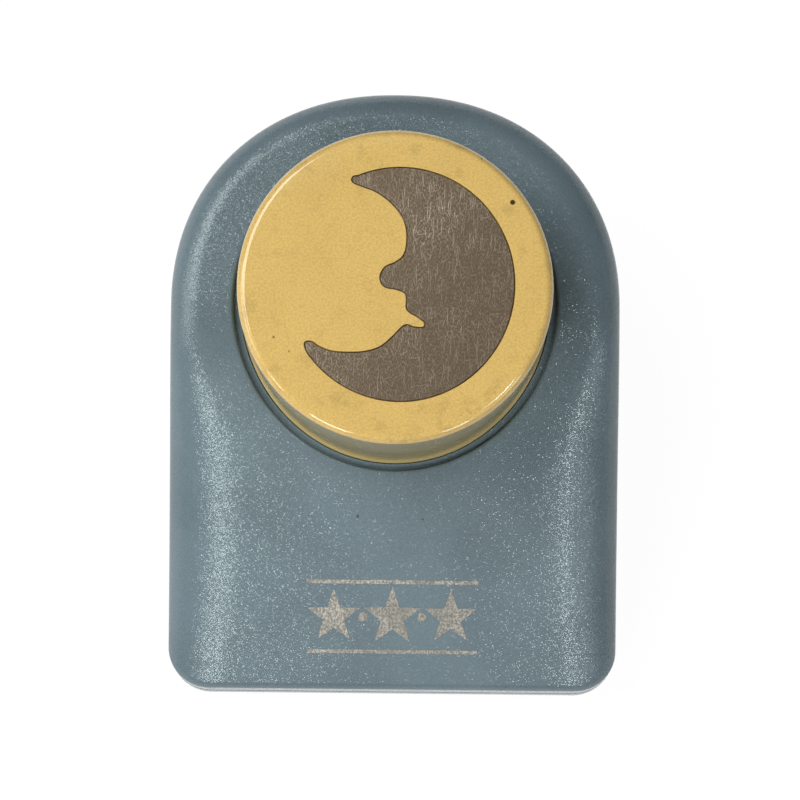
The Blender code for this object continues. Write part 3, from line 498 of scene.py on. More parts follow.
@dataclass(frozen=True)
class ScratchedFoil:
    """Metal foil with a fine grain and many short, mostly upright scratches.

    A scratch row holds the cells' width and length, the turn in degrees and the share of the cells.
    """

    colour: Colour
    scratch: Colour
    roughness: float = 0.42
    grain: float = 0.00013
    grain_stretch: float = 2.2
    grain_share: float = 0.40
    patch_size: float = 0.0035
    patch_share: float = 0.45
    fine_size: float = 0.00012
    patch_range: Pair = (0.35, 0.7)
    grain_range: Pair = (0.42, 0.66)
    scratch_share: float = 0.9
    bright_share: float = 0.3
    metallic: float = 0.9
    worn_gloss: float = 0.12
    fine_roughness: float = 0.2
    fine_relief: float = 0.5
    relief: Pair = (0.000006, 0.7)
    bright: tuple[Spot, ...] = ()
    scratch_rows: tuple[Row, ...] = (
        (0.00022, 0.0060, 1, 0.45), (0.00020, 0.0044, -5, 0.42), (0.00020, 0.0036, 7, 0.38),
        (0.00020, 0.0026, -16, 0.28), (0.00020, 0.0022, 22, 0.22), (0.00022, 0.0024, -40, 0.16),
        (0.00022, 0.0026, 52, 0.14), (0.00024, 0.0034, 80, 0.08),
    )

    def material(self, name: str) -> Material:
        """Builds the material.

        Args:
            name: Its name.

        Returns:
            The material.
        """
        recipe = Recipe(name)
        patches = recipe.noise(self.patch_size, detail=3.0).below(*self.patch_range)
        along = self.grain * self.grain_stretch
        brushed = recipe.stretched((1 / self.grain, 1 / along, 1 / along))
        grain = recipe.noise(1, detail=3.0, at=brushed)
        lines = grain.above(*self.grain_range) * self.grain_share
        for row in self.scratch_rows:
            lines = lines + recipe.scratches(*row) * self.scratch_share
        scratch_mask = lines.maths("MINIMUM", 1.0) * (1 - self.patch_share * patches)
        # Two round patches where the scratches and grain show brighter and glossier.
        for spot in self.bright:
            scratch_mask = scratch_mask + recipe.near(*spot) * lines * self.bright_share
        fine = recipe.noise(self.fine_size)
        roughness = self.roughness - scratch_mask * self.worn_gloss
        return recipe.done({
            "Metallic": self.metallic,
            "Base Color": recipe.mixed(scratch_mask, self.colour, self.scratch),
            "Roughness": roughness + (fine - NOISE_MIDDLE) * self.fine_roughness,
            "Normal": recipe.bump(scratch_mask + fine * self.fine_relief, *self.relief),
        })


@dataclass(frozen=True)
class WorkedSteel:
    """Steel with fine lines from grinding or drawing, and a few darker stains."""

    colour: Colour
    roughness: float = 0.33
    line_size: Pair = (0.00012, 0.012)
    line_turn: float = math.radians(90)
    stain_size: float = 0.0045
    stain_tone: float = 0.72
    stain_range: Pair = (0.5, 0.78)
    stain_share: float = 0.5
    line_share: float = 0.3
    stain_roughness: float = 0.12
    line_roughness: float = 0.16
    relief: Pair = (0.000005, 0.5)

    def material(self, name: str) -> Material:
        """Builds the material.

        Args:
            name: Its name.

        Returns:
            The material.
        """
        recipe = Recipe(name)
        width, length = self.line_size
        drawn = recipe.stretched((1 / width, 1 / length, 1 / length), self.line_turn)
        lines = recipe.noise(1, detail=3.0, at=drawn)
        stains = recipe.noise(self.stain_size, detail=4.0).above(*self.stain_range)
        dark = toned(self.colour, self.stain_tone)
        tone = stains * self.stain_share + lines * self.line_share
        roughness = self.roughness + stains * self.stain_roughness
        return recipe.done({
            "Metallic": 1.0, "Base Color": recipe.mixed(tone, self.colour, dark),
            "Roughness": roughness + (lines - NOISE_MIDDLE) * self.line_roughness,
            "Normal": recipe.bump(lines, *self.relief),
        })


@dataclass(frozen=True)
class ZincCoat:
    """Zinc plating with its mottled bluish bloom."""

    colour: Colour
    roughness: float = 0.38
    bloom_size: float = 0.0016
    fine_size: float = 0.0002
    warmth: Colour = (1.02, 0.93, 0.78)
    bloom_range: Pair = (0.45, 0.75)
    bloom_share: float = 0.6
    fine_roughness: float = 0.25
    relief: Pair = (0.000006, 0.6)

    def material(self, name: str) -> Material:
        """Builds the material.

        Args:
            name: Its name.

        Returns:
            The material.
        """
        recipe = Recipe(name)
        bloom = recipe.noise(self.bloom_size, detail=4.0).above(*self.bloom_range)
        fine = recipe.noise(self.fine_size)
        warm = tuple(part * factor for part, factor in zip(self.colour, self.warmth))
        return recipe.done({
            "Metallic": 1.0,
            "Base Color": recipe.mixed(bloom * self.bloom_share, self.colour, warm),
            "Roughness": self.roughness + (fine - NOISE_MIDDLE) * self.fine_roughness,
            "Normal": recipe.bump(fine, *self.relief),
        })


class Tree(Graph):
    """A Geometry Nodes tree with named inputs."""

    def __init__(self, name: str) -> None:
        """Starts a tree of a name.

        Args:
            name: The tree's name.
        """
        super().__init__(bpy.data.node_groups.new(name, "GeometryNodeTree"))
        for way in ("INPUT", "OUTPUT"):
            self.tree.interface.new_socket("Geometry", in_out=way, socket_type="NodeSocketGeometry")
        self.entry = self.node("NodeGroupInput")

    def inputs(self, kind: str, *names: str) -> list[Wire]:
        """Adds named inputs of one kind.

        Args:
            kind: Float, Int or Material.
            names: Their names.

        Returns:
            The inputs, ready to use.
        """
        for name in names:
            self.tree.interface.new_socket(name, in_out="INPUT", socket_type="NodeSocket" + kind)
        return [Wire(self.tree, self.entry.outputs[name]) for name in names]

    def spot(self, **parts: Any) -> Wire:
        """Makes a vector of the X, Y and Z that are given."""
        inputs = {name.upper(): part for name, part in parts.items()}
        return self.wire("ShaderNodeCombineXYZ", inputs)

    def joined(self, *parts: Wire) -> Wire:
        """Joins geometries into one.

        Args:
            parts: The geometries.

        Returns:
            The joined geometry.
        """
        both = self.node("GeometryNodeJoinGeometry")
        for part in parts:
            self.tree.links.new(part.socket, both.inputs[0])
        return Wire(self.tree, both.outputs[0])

    def welded(self, geometry: Wire) -> Wire:
        """Merges points that lie together."""
        return self.wire("GeometryNodeMergeByDistance", {"Geometry": geometry, "Distance": WELD})

    def close(self, geometry: Wire, smooth: bool = True) -> "Tree":
        """Ends the tree with Realize Instances and Set Material.

        Args:
            geometry: What the tree has made.
            smooth: Whether the faces are shaded smooth.

        Returns:
            The tree.
        """
        real = self.wire("GeometryNodeRealizeInstances", {"Geometry": geometry})
        shaded = self.wire("GeometryNodeSetShadeSmooth", {"Geometry": real, "Shade Smooth": smooth})
        (material,) = self.inputs("Material", "Material")
        dressed = self.wire("GeometryNodeSetMaterial", {"Geometry": shaded, "Material": material})
        self.node("NodeGroupOutput", {"Geometry": dressed})
        return self

    def grow(self, name: str, seed: Mesh, values: dict[str, Any]) -> Object:
        """Runs the tree on a mesh and returns its result as a plain mesh object.

        Args:
            name: The new object's name.
            seed: The mesh that the tree starts from.
            values: The tree's inputs by name.

        Returns:
            The object, without a modifier.
        """
        piece = linked(name, seed)
        modifier = piece.modifiers.new(self.tree.name, "NODES")
        modifier.node_group = self.tree
        for item in self.tree.interface.items_tree:
            if item.in_out == "INPUT" and item.name in values:
                modifier[item.identifier] = values[item.name]
        return settle(piece)


def linked(name: str, data: Any) -> Object:
    """Makes an object of a mesh, a lamp or a camera and puts it in the scene.

    Args:
        name: Its name.
        data: What it shows.

    Returns:
        The object.
    """
    made = bpy.data.objects.new(name, data)
    bpy.context.scene.collection.objects.link(made)
    return made


def settle(piece: Object) -> Object:
    """Turns an object with modifiers into a plain mesh object of the same name.

    Args:
        piece: The object, which is removed.

    Returns:
        The new object.
    """
    bpy.context.view_layer.update()
    graph = bpy.context.evaluated_depsgraph_get()
    mesh = bpy.data.meshes.new_from_object(piece.evaluated_get(graph))
    name = piece.name
    bpy.data.objects.remove(piece)
    return linked(name, mesh)


def turned_tree() -> Tree:
    """Makes the tree that turns a profile about the vertical axis.

    The seed is a line of points in the XZ plane. Its "round" attribute rounds its corners.

    Returns:
        The tree.
    """
    tree = Tree("turned_shape")
    steps, segments = tree.inputs("Int", "Steps", "Segments")
    corner = tree.wire(
        "GeometryNodeInputNamedAttribute", {"Name": "round"}, "Attribute", data_type="FLOAT"
    )
    line = tree.wire("GeometryNodeMeshToCurve", {"Mesh": tree.entry.outputs["Geometry"]})
    fillet = {"Curve": line, "Radius": corner, "Limit Radius": True, "Count": segments}
    rounded = tree.wire("GeometryNodeFilletCurve", fillet, mode="POLY")
    points = tree.wire("GeometryNodeCurveToPoints", {"Curve": rounded}, mode="EVALUATED")
    count = tree.wire(
        "GeometryNodeAttributeDomainSize", {0: points}, "Point Count", component="POINTCLOUD"
    )
    size = {"Size X": 1.0, "Size Y": 1.0, "Vertices X": steps + 1, "Vertices Y": count}
    grid = tree.wire("GeometryNodeMeshGrid", size)
    here = tree.node("ShaderNodeSeparateXYZ", {0: tree.wire("GeometryNodeInputPosition")})
    across, along = (Wire(tree.tree, here.outputs[i]) + 0.5 for i in (0, 1))
    sample = {
        "Geometry": points,
        "Value": tree.wire("GeometryNodeInputPosition"),
        "Index": (along * (count - 1)).maths("ROUND"),
    }
    place = tree.wire("GeometryNodeSampleIndex", sample, data_type="FLOAT_VECTOR")
    turn = {"Vector": place, "Angle": across * FULL_TURN}
    moved = tree.wire("ShaderNodeVectorRotate", turn, rotation_type="Z_AXIS")
    shape = tree.wire("GeometryNodeSetPosition", {"Geometry": grid, "Position": moved})
    return tree.close(tree.welded(shape))


def coil_tree() -> Tree:
    """Makes the tree of a coil spring with closed flat ends.

    Returns:
        The tree.
    """
    tree = Tree("coil_spring")
    (steps,) = tree.inputs("Int", "Steps")
    radius, wire_size, low, high, turns, flat_turns, flat_pitch = tree.inputs(
        "Float", "Radius", "Wire", "Low", "High", "Turns", "Flat turns", "Flat pitch"
    )
    line = tree.wire("GeometryNodeMeshLine", {"Count": steps + 1})
    turn = tree.wire("GeometryNodeInputIndex") / steps * turns
    first = turn.maths("MINIMUM", flat_turns)
    last = (turn - turns + flat_turns).maths("MAXIMUM", 0.0)
    middle = high - low - flat_pitch * flat_turns * 2
    pitch = middle / (turns - flat_turns * 2)
    height = low + flat_pitch * (first + last) + pitch * (turn - first - last)
    angle = turn * FULL_TURN
    place = tree.spot(
        x=angle.maths("COSINE") * radius, y=angle.maths("SINE") * radius, z=height
    )
    coil = tree.wire("GeometryNodeSetPosition", {"Geometry": line, "Position": place})
    curve = tree.wire("GeometryNodeMeshToCurve", {"Mesh": coil})
    around = {"Resolution": COIL_SIDES, "Radius": wire_size / 2}
    ring = tree.wire("GeometryNodeCurvePrimitiveCircle", around)
    sweep = {"Curve": curve, "Profile Curve": ring, "Fill Caps": True}
    return tree.close(tree.wire("GeometryNodeCurveToMesh", sweep))


def star_row_tree() -> Tree:
    """Makes the tree of a row of foil stars between two rules, the middle star the largest.

    Returns:
        The tree.
    """
    tree = Tree("star_row")
    (count,) = tree.inputs("Int", "Count")
    pitch, size, fall, dot, thickness, length, rise, broad, step = tree.inputs(
        "Float", "Pitch", "Size", "Fall", "Dot", "Thickness",
        "Rule length", "Rule rise", "Rule width", "Rule step",
    )
    half = (count - 1) / 2

    def row_of(number: Wire, first: Wire, shape: Wire, **others: Any) -> Wire:
        """Puts shapes in a row, one pitch apart.

        Args:
            number: How many there are.
            first: The place of the first one.
            shape: The shape.
            others: More inputs of the node that places them.

        Returns:
            The instances.
        """
        start, apart = tree.spot(x=first), tree.spot(x=pitch)
        inputs = {"Count": number, "Start Location": start, "Offset": apart}
        row = {"Points": tree.wire("GeometryNodeMeshLine", inputs), "Instance": shape, **others}
        return tree.wire("GeometryNodeInstanceOnPoints", row)

    offset = tree.wire("GeometryNodeInputIndex") - half
    star_size = {"Points": STAR_POINTS, "Inner Radius": size * STAR_WAIST, "Outer Radius": size}
    star = tree.wire("GeometryNodeCurveStar", star_size)
    shrunk = 1 - offset.maths("ABSOLUTE") * fall
    upright = (0, 0, QUARTER_TURN)
    stars = row_of(count, half * pitch * -1, star, Rotation=upright, Scale=shrunk)
    ring = tree.wire("GeometryNodeCurvePrimitiveCircle", {"Resolution": DOT_SIDES, "Radius": dot})
    dots = row_of(count - 1, (half - 0.5) * pitch * -1, ring)
    bar = tree.wire("GeometryNodeCurvePrimitiveQuadrilateral", {"Width": length, "Height": broad})
    ruled = tree.wire("GeometryNodeResampleCurve", {"Curve": bar, "Length": step}, mode="LENGTH")
    rules = []
    for side in (1, -1):
        shift = {"Geometry": ruled, "Translation": tree.spot(y=rise * side)}
        rules.append(tree.wire("GeometryNodeTransform", shift))
    row = tree.joined(stars, dots, *rules)
    curves = tree.wire("GeometryNodeRealizeInstances", {"Geometry": row})
    faces = tree.wire("GeometryNodeFillCurve", {"Curve": curves})
    lift = {"Mesh": faces, "Offset Scale": thickness, "Individual": False}
    raised = tree.wire("GeometryNodeExtrudeMesh", lift, mode="FACES")
    under = tree.wire("GeometryNodeFlipFaces", {"Mesh": faces})
    return tree.close(tree.welded(tree.joined(raised, under)), smooth=False)


def profile_mesh(name: str, corners: Iterable[tuple[float, float, float]]) -> Mesh:
    """Makes the seed of a turned shape.

    Args:
        name: The mesh's name.
        corners: Radius, height and rounding of each corner, from the top down on the outside.

    Returns:
        The line of points, with its "round" attribute.
    """
    corners = list(corners)
    mesh = bpy.data.meshes.new(name)
    links = [(i, i + 1) for i in range(len(corners) - 1)]
    mesh.from_pydata([(radius, 0, height) for radius, height, _ in corners], links, [])
    rounds = mesh.attributes.new("round", "FLOAT", "POINT")
    for value, (_, _, rounding) in zip(rounds.data, corners):
        value.value = rounding
    return mesh


def solid(name: str, shape: bmesh.types.BMesh) -> Object:
    """Makes an object of a finished bmesh, which is freed.

    Args:
        name: The object's name.
        shape: The bmesh.

    Returns:
        The object.
    """
    mesh = bpy.data.meshes.new(name)
    shape.to_mesh(mesh)
    shape.free()
    return linked(name, mesh)


def loft(name: str, rings: Sequence[Ring], cyclic: bool = True) -> Object:
    """Joins rings of equal length into a closed surface.

    Args:
        name: The object's name.
        rings: The rings in order.
        cyclic: Whether the last ring joins the first one. If not, both get a cap.

    Returns:
        The object, with doubled points merged and faces turned outwards.
    """
    shape = bmesh.new()
    rows = [[shape.verts.new(point) for point in ring] for ring in rings]
    pairs = list(zip(rows, rows[1:]))
    if cyclic:
        pairs.append((rows[-1], rows[0]))
    else:
        shape.faces.new(rows[0])
        shape.faces.new(rows[-1])
    for row, after in pairs:
        for i in range(len(row)):
            j = (i + 1) % len(row)
            shape.faces.new((row[i], row[j], after[j], after[i]))
    bmesh.ops.remove_doubles(shape, verts=shape.verts, dist=WELD)
    bmesh.ops.recalc_face_normals(shape, faces=shape.faces)
    return solid(name, shape)


def block(name: str, size: Sequence[float], place: Matrix) -> Object:
    """Makes a box about a place.

    Args:
        name: Its name.
        size: Its three sizes.
        place: Where its middle goes, and its turn.

    Returns:
        The box.
    """
    shape = bmesh.new()
    bmesh.ops.create_cube(shape, size=1)
    bmesh.ops.transform(shape, verts=shape.verts, matrix=place @ Matrix.Diagonal((*size, 1)))
    return solid(name, shape)


def cut(piece: Object, tool: Object, operation: str = "DIFFERENCE") -> Object:
    """Cuts a tool from a piece, or joins it on, and removes the tool.

    Args:
        piece: The piece.
        tool: The closed tool.
        operation: The Boolean's operation.

    Returns:
        The piece as a new plain mesh object.
    """
    modifier = piece.modifiers.new("cut", "BOOLEAN")
    modifier.operation, modifier.solver, modifier.object = operation, "EXACT", tool
    made = settle(piece)
    bpy.data.objects.remove(tool)
    return made


def polish(piece: Object, material: Material) -> None:
    """Shades a piece smooth except across its edges, and gives it its one material.

    Args:
        piece: The piece.
        material: The material.
    """
    piece.data.materials.clear()
    piece.data.materials.append(material)
    piece.data.polygons.foreach_set("material_index", [0] * len(piece.data.polygons))
    piece.data.shade_smooth()
    piece.data.set_sharp_from_angle(angle=SHARP_ANGLE)


def put(piece: Object, body: Body, slot: Slot, *nodes: str) -> None:
    """Puts a finished piece on its body and reports it.

    Args:
        piece: The piece, at the origin.
        body: The body that it moves with.
        slot: Not used.
        nodes: The solids that it stands for.
    """
    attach(piece, body.value)
    if nodes:
        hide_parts(*nodes)
    LOG.info("%s: %d faces on %s", piece.name, len(piece.data.polygons), body.value)


def mix(first: float, second: float, share: float) -> float:
    """Goes from the first value to the second."""
    return first + (second - first) * share


def between(first: Plan, second: Plan, shares: Sequence[float]) -> Plan:
    """Gives the outline at a share of the way from one outline to another, for each point."""
    pairs = zip(first, second, shares)
    return [(mix(a, c, share), mix(b, d, share)) for (a, b), (c, d), share in pairs]


def smooth_step(value: float) -> float:
    """Eases from 0 to 1."""
    share = min(max(value, 0), 1)
    return share * share * (3 - 2 * share)


def quarter(steps: int) -> list[Pair]:
    """Gives sine and versed sine, from (0, 0) to (1, 1), at even steps of a quarter turn."""
    turns = [QUARTER_TURN * i / steps for i in range(steps + 1)]
    return [(math.sin(turn), 1 - math.cos(turn)) for turn in turns]


def rounded_drop(inset: float, width: float, drop: float) -> float:
    """Gives how far an elliptical rounding falls at an inset from its edge.

    Args:
        inset: The distance inside the edge.
        width: The rounding's width.
        drop: Its height.

    Returns:
        The fall below the flat beside it.
    """
    if inset >= width:
        return 0
    share = 1 - max(inset, 0) / width
    return drop * (1 - math.sqrt(max(1 - share * share, 0)))


def ring_at(radius: float, around: Plan) -> Plan:
    """Gives a circle about the axis with its points on the rays of another outline."""
    return [(x * radius / math.hypot(x, y), y * radius / math.hypot(x, y)) for x, y in around]


def circle(radius: float, x: float = 0, y: float = 0, steps: int = 40) -> Plan:
    """Gives a round outline about a place measured from the button's axis."""
    turns = [FULL_TURN * i / steps for i in range(steps)]
    return [(x + radius * math.cos(turn), y + radius * math.sin(turn)) for turn in turns]


@dataclass
class Shell:
    """The outside of the body: a straight front, a round rear and a top that slopes forward.

    Its lengths are measured from the button's axis, and its widths at the table's height.
    """

    axis_y: float
    width: float
    to_front: float
    to_back: float
    round_end_power: float = 2.16
    front_corner: float = 0.0052
    side_draft: float = math.radians(3.3)
    front_draft: float = math.radians(2.0)
    platform: float = 0.0335
    front_edge: float = 0.0145
    crest: float = 0.0040
    crest_softness: float = 0.0040
    crown: float = 0.0008
    platform_round: float = 0.0036
    slope_round: Pair = (0.0095, 0.0052)
    slope_round_start: float = 0.40
    front_round: Pair = (0.0080, 0.0040)
    front_round_start: float = 0.55
    front_edge_round: float = 0.0008
    back_steps: int = 48
    side_steps: int = 26
    corner_steps: int = 12
    front_steps: int = 24

    @classmethod
    def around(cls, axis_y: float, low: Vector, high: Vector, chamfer: float) -> "Shell":
        """Makes the shell that stands on the tray.

        Args:
            axis_y: The place of the button's axis.
            low: The lowest corner of the tray's box.
            high: Its highest corner.
            chamfer: The height at which the tray is widest.

        Returns:
            The shell.
        """
        side, front = chamfer * math.tan(cls.side_draft), chamfer * math.tan(cls.front_draft)
        width = high.x - low.x + 2 * side
        return cls(axis_y, width, axis_y - low.y + front, high.y - axis_y + side)

    @property
    def front_top(self) -> float:
        """Gives the distance from the button's axis to the front's upper edge."""
        return self.to_front - self.front_edge * math.tan(self.front_draft)

    @property
    def slope(self) -> float:
        """Gives the fall of the top for each metre forward."""
        return (self.platform - self.front_edge) / (self.front_top - self.crest)

    def slope_run(self, y: float) -> float:
        """Gives how far y lies down the slope, eased at the crest."""
        run = -self.crest - y
        return (run + math.hypot(run, self.crest_softness)) / 2

    def slope_share(self, y: float) -> float:
        """Gives 0 on the platform and 1 at the front edge."""
        return self.slope_run(y) / (self.front_top - self.crest)

    def side_round(self, y: float) -> Pair:
        """Gives the rounding along the sides at a place along the body.

        Args:
            y: The place.

        Returns:
            The rounding's width and its drop.
        """
        onto_slope = smooth_step(self.slope_share(y) / self.slope_round_start)
        start = self.front_round_start
        to_front = smooth_step((self.slope_share(y) - start) / (1 - start))
        sizes = zip((self.platform_round,) * 2, self.slope_round, self.front_round)
        width, drop = (mix(mix(a, b, onto_slope), c, to_front) for a, b, c in sizes)
        return width, drop

    def edge_height(self, y: float) -> float:
        """Gives the height where the side wall meets the rounding."""
        crown = self.crown * smooth_step(self.slope_share(y))
        return self.platform - self.slope * self.slope_run(y) - crown - self.side_round(y)[1]

    def half_width(self, y: float, height: float | None = None) -> float:
        """Gives the side wall's distance from the middle at a height, or at the rounding."""
        level = self.edge_height(y) if height is None else height
        return self.width / 2 - level * math.tan(self.side_draft)

    def back_depth(self, height: float) -> float:
        """Gives the round end's distance from the button's axis at a height."""
        return self.to_back - height * math.tan(self.side_draft)

    def side_inset(self, x: float, y: float) -> float:
        """Gives how far a place lies inside the side wall or the round end.

        Args:
            x: The place across the body.
            y: The place along it.

        Returns:
            The distance, measured across the body or, at the round end, from the axis.
        """
        if y < 0:
            return self.half_width(y) - abs(x)
        back = self.back_depth(self.edge_height(0))
        power = self.round_end_power
        level = ((abs(x) / self.half_width(0)) ** power + (y / back) ** power) ** (1 / power)
        reach = math.hypot(x, y)
        return reach / level - reach if level > 0 else back

    def front_drop(self, x: float, y: float) -> float:
        """Gives the fall of the small rounding along the front edge and its corners.

        Args:
            x: The place across the body.
            y: The place along it.

        Returns:
            The fall.
        """
        corner_x = abs(x) - self.half_width(y) + self.front_corner
        corner_y = -y - self.front_top + self.front_corner
        if corner_y <= 0:
            return 0
        edge = self.front_edge_round
        if corner_x <= 0:
            return rounded_drop(self.front_corner - corner_y, edge, edge)
        reach = math.hypot(corner_x, corner_y)
        return rounded_drop(self.front_corner - reach, edge, edge) * (corner_y / reach) ** 2

    def top(self, x: float, y: float) -> float:
        """Gives the height of the outer top above a place measured from the button's axis.

        Args:
            x: The place across the body.
            y: The place along it.

        Returns:
            The height.
        """
        width, drop = self.side_round(y)
        crown = self.crown * smooth_step(self.slope_share(y)) * (x / self.half_width(y)) ** 2
        level = self.platform - self.slope * self.slope_run(y) - crown
        return level - rounded_drop(self.side_inset(x, y), width, drop) - self.front_drop(x, y)

    def outline(
        self, height: float | None = None, inset: float = 0, throat: float | None = None
    ) -> Plan:
        """Gives the body's outline.

        Args:
            height: The height, or None for the line where the wall meets the rounding.
            inset: How far the outline is moved inwards.
            throat: A distance behind the axis where each side gets two points side by side.

        Returns:
            The points, anticlockwise from the right side of the axis.
        """
        at_edge = height is None
        back = self.back_depth(self.edge_height(0) if at_edge else height) - inset
        front = self.front_top if at_edge else self.to_front - height * math.tan(self.front_draft)
        front -= inset
        corner = max(self.front_corner - inset, self.front_edge_round)
        side = self.half_width(0, height) - inset
        power = 2 / self.round_end_power
        turns = [QUARTER_TURN * i / self.back_steps for i in range(self.back_steps)]
        points = [(math.cos(t) ** power * side, math.sin(t) ** power * back) for t in turns]
        if throat is not None:
            points = self.with_throat(points, side, back, throat)
        points += [(0.0, back)]
        points += [(-x, y) for x, y in reversed(points[:-1])]
        run = [((corner - front) * i / self.side_steps, 0) for i in range(1, self.side_steps)]
        bend = quarter(self.corner_steps)
        run += [(corner - front - corner * sine, corner * versed) for sine, versed in bend]
        left = [(-self.half_width(y, height) + inset + turned, y) for y, turned in run]
        steps = self.front_steps
        across = [(mix(left[-1][0], -left[-1][0], i / steps), -front) for i in range(1, steps)]
        return points + left + across + [(-x, y) for x, y in reversed(left)]

    def with_throat(self, points: Plan, side: float, back: float, throat: float) -> Plan:
        """Puts two points side by side where the outline passes the throat.

        Args:
            points: The right half of the round end, from the side to the rear.
            side: The half width of the round end.
            back: Its depth.
            throat: The throat's distance behind the axis.

        Returns:
            The half outline with the two points, less than the weld apart.
        """
        power = self.round_end_power
        x = side * (1 - (throat / back) ** power) ** (1 / power)
        before = [point for point in points if point[1] < throat]
        after = [point for point in points if point[1] >= throat]
        return before[:-1] + [(x, throat - WELD / 4), (x, throat + WELD / 4)] + after

    def placed(self, points: Plan, heights: float | Sequence[float]) -> Ring:
        """Places an outline, measured from the axis, at one height or at one for each point."""
        levels = heights if isinstance(heights, Sequence) else [heights] * len(points)
        return [(x, self.axis_y + y, z) for (x, y), z in zip(points, levels)]

    def over(self, points: Plan, below: float = 0) -> Ring:
        """Places an outline on the top, or at a depth below it."""
        return self.placed(points, [self.top(x, y) - below for x, y in points])

    def shift(self, x: float = 0, y: float = 0) -> Matrix:
        """Gives the move from the origin to a place measured from the axis."""
        return Matrix.Translation((x, self.axis_y + y, 0))


@dataclass
class Housing:
    """The upper housing with its well and sleeve."""

    shell: Shell
    finish: GrainedPlastic
    tray_top: float
    slot_top: float
    bosses: Sequence[tuple[float, float, float]]
    throat: float = 0.01548
    rim_radius: float = 0.01878
    bore_radius: float = 0.01796
    sleeve_bottom: float = 0.0203
    gap: float = 0.0003
    wall: float = 0.0020
    sleeve_wall: float = 0.0015
    ledge_depth: float = 0.0010
    rim_round: float = 0.00040
    ledge_round: float = 0.00005
    foot_round: float = 0.0003
    boss_bottom: float = 0.0106
    boss_radius: float = 0.0026
    boss_bore: float = 0.0016
    bore_depth: float = 0.0015
    round_steps: int = 16
    top_steps: int = 18
    edge_steps: int = 4
    round_limit: float = 0.85

    def round_share(self, x: float, y: float) -> float:
        """Gives where the edge's rounding ends on the way from the edge to the rim.

        Args:
            x: The edge's place across the body.
            y: Its place along the body.

        Returns:
            The share of the way.
        """
        shell = self.shell
        reach = math.hypot(x, y)
        corner = max(-y - shell.front_top + shell.front_corner, 0) / shell.front_corner
        width = shell.side_round(y)[0] * reach / max(abs(x), shell.front_corner)
        across = width if y < 0 else shell.platform_round
        along = shell.front_edge_round * reach / max(-y, shell.front_edge_round)
        share = mix(across, along, smooth_step(corner)) / (reach - self.rim_radius)
        return min(share, self.round_limit)

    def foot_ring(self, inset: float, lift: float) -> Ring:
        """Gives a ring at the wall's foot, which steps up to the paper slot at the throat.

        Args:
            inset: How far the ring lies inside the wall.
            lift: How much higher than the foot it lies.

        Returns:
            The ring.
        """
        points = self.shell.outline(self.slot_top, inset, self.throat)
        low, high = self.tray_top + self.gap + lift, self.slot_top + lift
        return self.shell.placed(points, [low if y > self.throat else high for _, y in points])

    def top_rings(self, edge: Plan) -> list[Ring]:
        """Gives the rings over the top, from the edge's rounding to the well.

        Args:
            edge: The line where the wall meets the rounding.

        Returns:
            The rings.
        """
        rim = ring_at(self.rim_radius + self.rim_round, edge)
        ends = [self.round_share(x, y) for x, y in edge]
        rows = [[end * versed for end in ends] for _, versed in quarter(self.round_steps)]
        steps = self.top_steps
        rows += [[mix(end, 1, i / steps) for end in ends] for i in range(1, steps + 1)]
        return [self.shell.over(between(edge, rim, row)) for row in rows]

    def well_rings(self, edge: Plan) -> list[Ring]:
        """Gives the rings of the well: its rounded rim, the ledge, the bore and the sleeve.

        Args:
            edge: The line that the rings take their rays from.

        Returns:
            The rings.
        """
        shell, small, ledge = self.shell, self.ledge_round, self.ledge_depth
        steps = quarter(self.edge_steps)
        places = [
            (self.rim_radius + self.rim_round * (1 - sine), self.rim_round * versed)
            for sine, versed in steps[1:]
        ]
        places += [(self.rim_radius, ledge - small), (self.rim_radius - small, ledge)]
        places += [
            (self.bore_radius + small * (1 - sine), ledge + small * versed)
            for sine, versed in steps
        ]
        rings = [shell.over(ring_at(radius, edge), below) for radius, below in places]
        for radius in (self.bore_radius, self.bore_radius + self.sleeve_wall):
            rings.append(shell.placed(ring_at(radius, edge), self.sleeve_bottom))
        return rings

    def inner_rings(self, edge: Plan) -> list[Ring]:
        """Gives the rings under the top, from the sleeve to the wall's inside.

        Args:
            edge: The line that the rings take their rays from.

        Returns:
            The rings.
        """
        sleeve = ring_at(self.bore_radius + self.sleeve_wall, edge)
        inner_edge = self.shell.outline(inset=self.wall, throat=self.throat)
        shares = [i / self.top_steps for i in range(self.top_steps + 1)]
        plans = [between(sleeve, inner_edge, [share] * len(edge)) for share in shares]
        return [self.shell.over(plan, self.wall) for plan in plans]

    def rings(self) -> list[Ring]:
        """Gives the rings of the whole shell, from the outer foot over the top and back inside.

        Returns:
            The rings.
        """
        edge = self.shell.outline(throat=self.throat)
        rings = [
            self.foot_ring(self.foot_round * (1 - sine), self.foot_round * versed)
            for sine, versed in quarter(self.edge_steps)
        ]
        rings += self.top_rings(edge) + self.well_rings(edge) + self.inner_rings(edge)
        return rings + [self.foot_ring(self.wall, 0)]

    def with_boss(self, piece: Object, x: float, y: float, screw_top: float) -> Object:
        """Adds one screw boss under the top, with its bore.

        Args:
            piece: The housing.
            x: The boss's place.
            y: Its place, measured from the axis.
            screw_top: The height of the screw's end.

        Returns:
            The housing with the boss.
        """
        shell, around = self.shell, circle(self.boss_radius, x, y)
        rings = [shell.placed(around, self.boss_bottom), shell.over(around, self.wall / 2)]
        piece = cut(piece, loft("boss", rings, cyclic=False), "UNION")
        levels = (self.boss_bottom - OVERRUN, screw_top + self.bore_depth)
        ends = [shell.placed(circle(self.boss_bore, x, y), level) for level in levels]
        return cut(piece, loft("bore", ends, cyclic=False))

    def build(self) -> None:
        """Makes the housing and puts it in the place of its solid."""
        piece = loft("housing", self.rings())
        for boss in self.bosses:
            piece = self.with_boss(piece, *boss)
        polish(piece, self.finish.material("grained_blue_plastic"))
        put(piece, Body.FRAME, Slot.BLUE_PLASTIC, "housing_shell")


